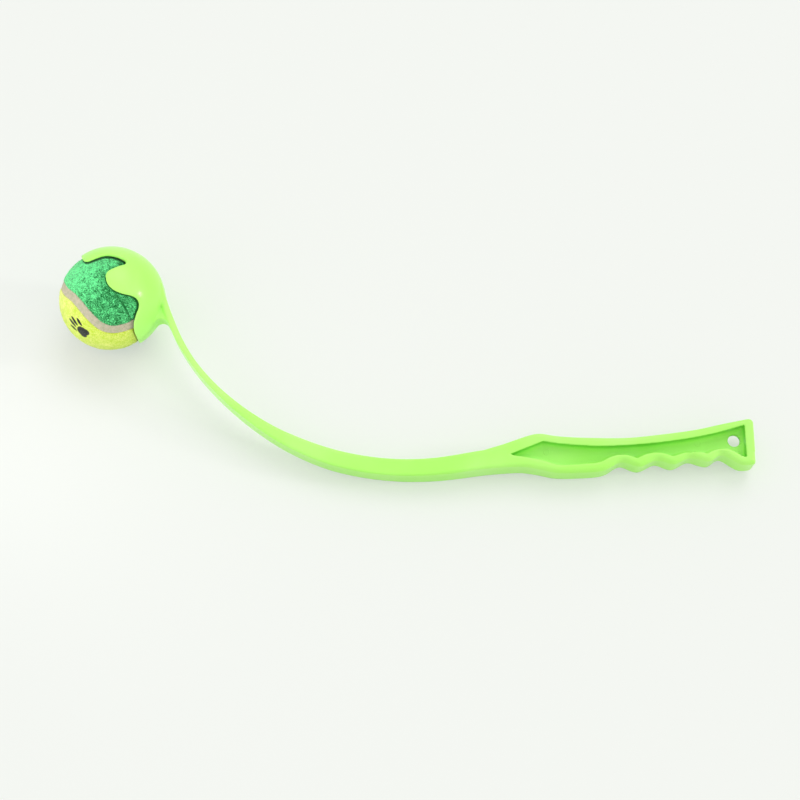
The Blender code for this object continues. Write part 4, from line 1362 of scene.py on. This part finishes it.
def mould_marks(tree, local):
    """The height of the parting line and of the rings that the ejector pins left."""
    parts = add_node(tree, "ShaderNodeSeparateXYZ", Vector=local).outputs
    height = number_math(tree, "ABSOLUTE", parts["Z"])
    flat = add_node(tree, "ShaderNodeCombineXYZ", X=parts["X"], Y=parts["Y"]).outputs[0]
    on_web = remap(tree, height, WEB_THICKNESS / 2 + 0.0012, WEB_THICKNESS / 2 + 0.0004)
    marks = remap(tree, height, PARTING_LINE, 0.0)
    for pixel in PIN_PIXELS:
        pin = on_plane(pixel, WEB_THICKNESS / 2)
        away = vector_math(tree, "LENGTH", vector_math(tree, "SUBTRACT", flat, (pin.x, pin.y, 0)))
        ring = number_math(tree, "SUBTRACT", remap(tree, away, PIN_RADIUS, PIN_RADIUS - 0.0002),
                           remap(tree, away, PIN_RADIUS - 0.0003, PIN_RADIUS - 0.0006, 0.0, 0.6))
        marks = number_math(tree, "MULTIPLY_ADD", ring, on_web, marks)
    return marks


# %% Lime plastic material
LIME = (0.43, 0.95, 0.15, 1)
LIME_PALE = (0.52, 0.97, 0.24, 1)
LIME_SCUFFED = (0.55, 0.95, 0.3, 1)
# Painted shade for the cup's inner edge by the rim
LIME_RIM_SHADE = (0.03, 0.24, 0.015, 1)
# Painted shade for the recess's walls under the lip
LIME_RECESS_SHADE = (0.1, 0.58, 0.008, 1)


def lime_material():
    """Moulded lime polypropylene."""
    material, tree, shader, coordinates = new_material(
        "lime_plastic", Subsurface_Weight=0.12, Subsurface_Radius=(0.8, 1.0, 0.4), Subsurface_Scale=0.003,
        IOR=1.49, Coat_Weight=0.2, Coat_Roughness=0.14, Specular_IOR_Level=0.12)
    local = in_axes(tree, coordinates, LAUNCHER)
    marks = handling(tree, coordinates, dust_size=0.03, scuff_size=0.005)
    flow = noise_field(tree, local, size=0.05)
    colour = blend_colours(tree, remap(tree, flow, 0.35, 0.7, 0.0, 0.6), LIME, LIME_PALE)
    scuffed = number_math(tree, "MULTIPLY", marks["Scuffs"], 0.12)
    # Painted shade: the cup's inner skin by the rim is darkened, for the shaded gap between rim and ball
    from_ball = vector_math(tree, "LENGTH", local)
    cup_rim_shade = remap(tree, from_ball, CUP_RADIUS + 0.0007, CUP_RADIUS + 0.0002, 0.0, 0.9)
    cup_rim_shade = number_math(tree, "MULTIPLY", cup_rim_shade, attribute(tree, "near_rim"))
    # Painted shade on the recess's walls just under the lip
    recess_shade = number_math(tree, "MULTIPLY", attribute(tree, "under_lip"), 0.75)
    for share, shade in ((scuffed, LIME_SCUFFED), (cup_rim_shade, LIME_RIM_SHADE), (recess_shade, LIME_RECESS_SHADE)):
        colour = blend_colours(tree, share, colour, shade)
    rough = number_math(tree, "MULTIPLY_ADD", marks["Scuffs"], 0.1, 0.28)
    rough = number_math(tree, "MULTIPLY_ADD", marks["Dust"], 0.08, rough)
    sharp = bump(tree, mould_marks(tree, local), distance=0.0002)
    wavy = bump(tree, noise_field(tree, local, size=0.0016, detail=1.0), 0.00006, strength=0.5, below=sharp)
    fill(tree, shader, Base_Color=colour, Roughness=rough, Normal=wavy)
    return material


moulding.data.materials.append(lime_material())
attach(moulding, "launcher")
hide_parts("throwing_cup", "whip_arm", "grip_handle")

# %% [markdown]
# ## The rubber core
# The ball's hollow core is two black half shells. They hardly show, but the ball may be opened in
# a drawing, so they get a matt rubber with mould bloom and fine pores on the CAD's own solids.

# %% Core rubber
RUBBER = (0.018, 0.018, 0.02, 1)
RUBBER_BLOOM = (0.07, 0.07, 0.075, 1)

rubber, tree, shader, coordinates = new_material("core_rubber")
dust = handling(tree, coordinates, dust_size=0.008, scuff_size=0.003)["Dust"]
pores = noise_field(tree, coordinates, size=0.0009, detail=3.0)
fill(tree, shader, Base_Color=blend_colours(tree, dust, RUBBER, RUBBER_BLOOM),
     Roughness=remap(tree, pores, 0.3, 0.7, 0.85, 0.65),
     Normal=bump(tree, pores, distance=0.0002, strength=0.5))
for node in ("core_half_front", "core_half_back"):
    core_half = bpy.data.objects[node]
    for material_slot in core_half.material_slots:
        material_slot.material = rubber
    print(node, "has", len(core_half.material_slots), "slot of rubber")

# %% [markdown]
# ## Floor and light
# A plain pale sheet and an even fill from all round. A broad soft light stands behind, towards the
# handle, and shades the recess under its flange. A second sun lamp, low beyond the butt, makes the
# highlight on the cup. A small lamp near the ball lights its open side, and throws the faint shadow
# between cup and arm. It is so close to the sheet that it would burn a white patch into it, so two
# thirds of its light are linked to the pieces alone. Together the lamps add up to about the level
# at which a colour renders as it is written. The camera sees the sheet partly as an even white, so
# that its shadows stay as pale as in the photograph. The sheet lies under the finished pieces.

# %% Floor
FLOOR_SIDE = 12.0
FLOOR_COLOUR = (0.835, 0.85, 0.82, 1)
FLOOR_WHITE = (0.89, 0.905, 0.87, 1)
FLOOR_WHITE_SHARE = 0.46


def make_floor(height):
    """The pale sheet that the launcher lies on."""
    half = FLOOR_SIDE / 2
    mesh = bpy.data.meshes.new("floor")
    mesh.from_pydata([(-half, -half, height), (half, -half, height), (half, half, height),
                      (-half, half, height)], [], [(0, 1, 2, 3)])
    material, tree, shader, _ = new_material("pale_sheet", Base_Color=FLOOR_COLOUR, Roughness=0.9,
                                             Specular_IOR_Level=0.2)
    white = add_node(tree, "ShaderNodeEmission", Color=FLOOR_WHITE, Strength=1.0).outputs[0]
    rays = add_node(tree, "ShaderNodeLightPath").outputs
    seen = number_math(tree, "ADD", rays["Is Camera Ray"], rays["Is Glossy Ray"])
    seen = number_math(tree, "ADD", seen, rays["Is Transmission Ray"], clamp=True)
    mix = add_node(tree, "ShaderNodeMixShader")
    share = number_math(tree, "MULTIPLY", seen, FLOOR_WHITE_SHARE)
    for socket, source in zip(mix.inputs, (share, shader.outputs[0], white)):
        feed(tree, socket, source)
    fill(tree, tree.nodes["Material Output"], Surface=mix.outputs[0])
    mesh.materials.append(material)
    new_object("floor", mesh)


visual_low, visual_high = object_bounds()
make_floor(min(visual_low.z, 0))
print("visual box in mm:", [round(value * 1000, 1) for value in visual_high - visual_low])

# %% Lamps and background
FILL_COLOUR = (0.985, 1, 0.985, 1)
FILL_STRENGTH = 0.86
# Each sun lamp: degrees round from +X, degrees up, strength and width in degrees
SUN_LAMPS = {
    "soft_light": (62, 60, 0.68, 40),
    "highlight_light": (-2.6, 20, 0.6, 8),
}
BALL_LAMP_PLACE = (-0.28, -0.06, 0.13)
BALL_LAMP_SIDE = 0.12
# In watts. The first lights the pieces alone, and the second the sheet too
BALL_LAMPS = {"ball_light": 0.08, "ball_and_sheet_light": 0.04}


def make_lamp(name, kind, place, energy):
    """A lamp that faces the origin from a place."""
    lamp = new_object(name, bpy.data.lights.new(name, kind))
    lamp.location = place
    lamp.rotation_euler = (-lamp.location).to_track_quat("-Z", "Y").to_euler()
    lamp.data.energy = energy
    return lamp


for name, (around, up, strength, width) in SUN_LAMPS.items():
    around, up = math.radians(around), math.radians(up)
    place = (math.cos(around) * math.cos(up), math.sin(around) * math.cos(up), math.sin(up))
    make_lamp(name, "SUN", place, strength).data.angle = math.radians(width)
pieces = bpy.data.collections.new("lit_by_ball_light")
for item in bpy.context.scene.objects:
    if item.type == "MESH" and item.name != "floor":
        pieces.objects.link(item)
for name, watts in BALL_LAMPS.items():
    make_lamp(name, "AREA", BALL_LAMP_PLACE, watts).data.size = BALL_LAMP_SIDE
bpy.data.objects["ball_light"].light_linking.receiver_collection = pieces
world = bpy.data.worlds.new("studio")
world.use_nodes = True
fill(world.node_tree, world.node_tree.nodes["Background"], Color=FILL_COLOUR, Strength=FILL_STRENGTH)
bpy.context.scene.world = world
bpy.context.scene.view_settings.view_transform = "Standard"
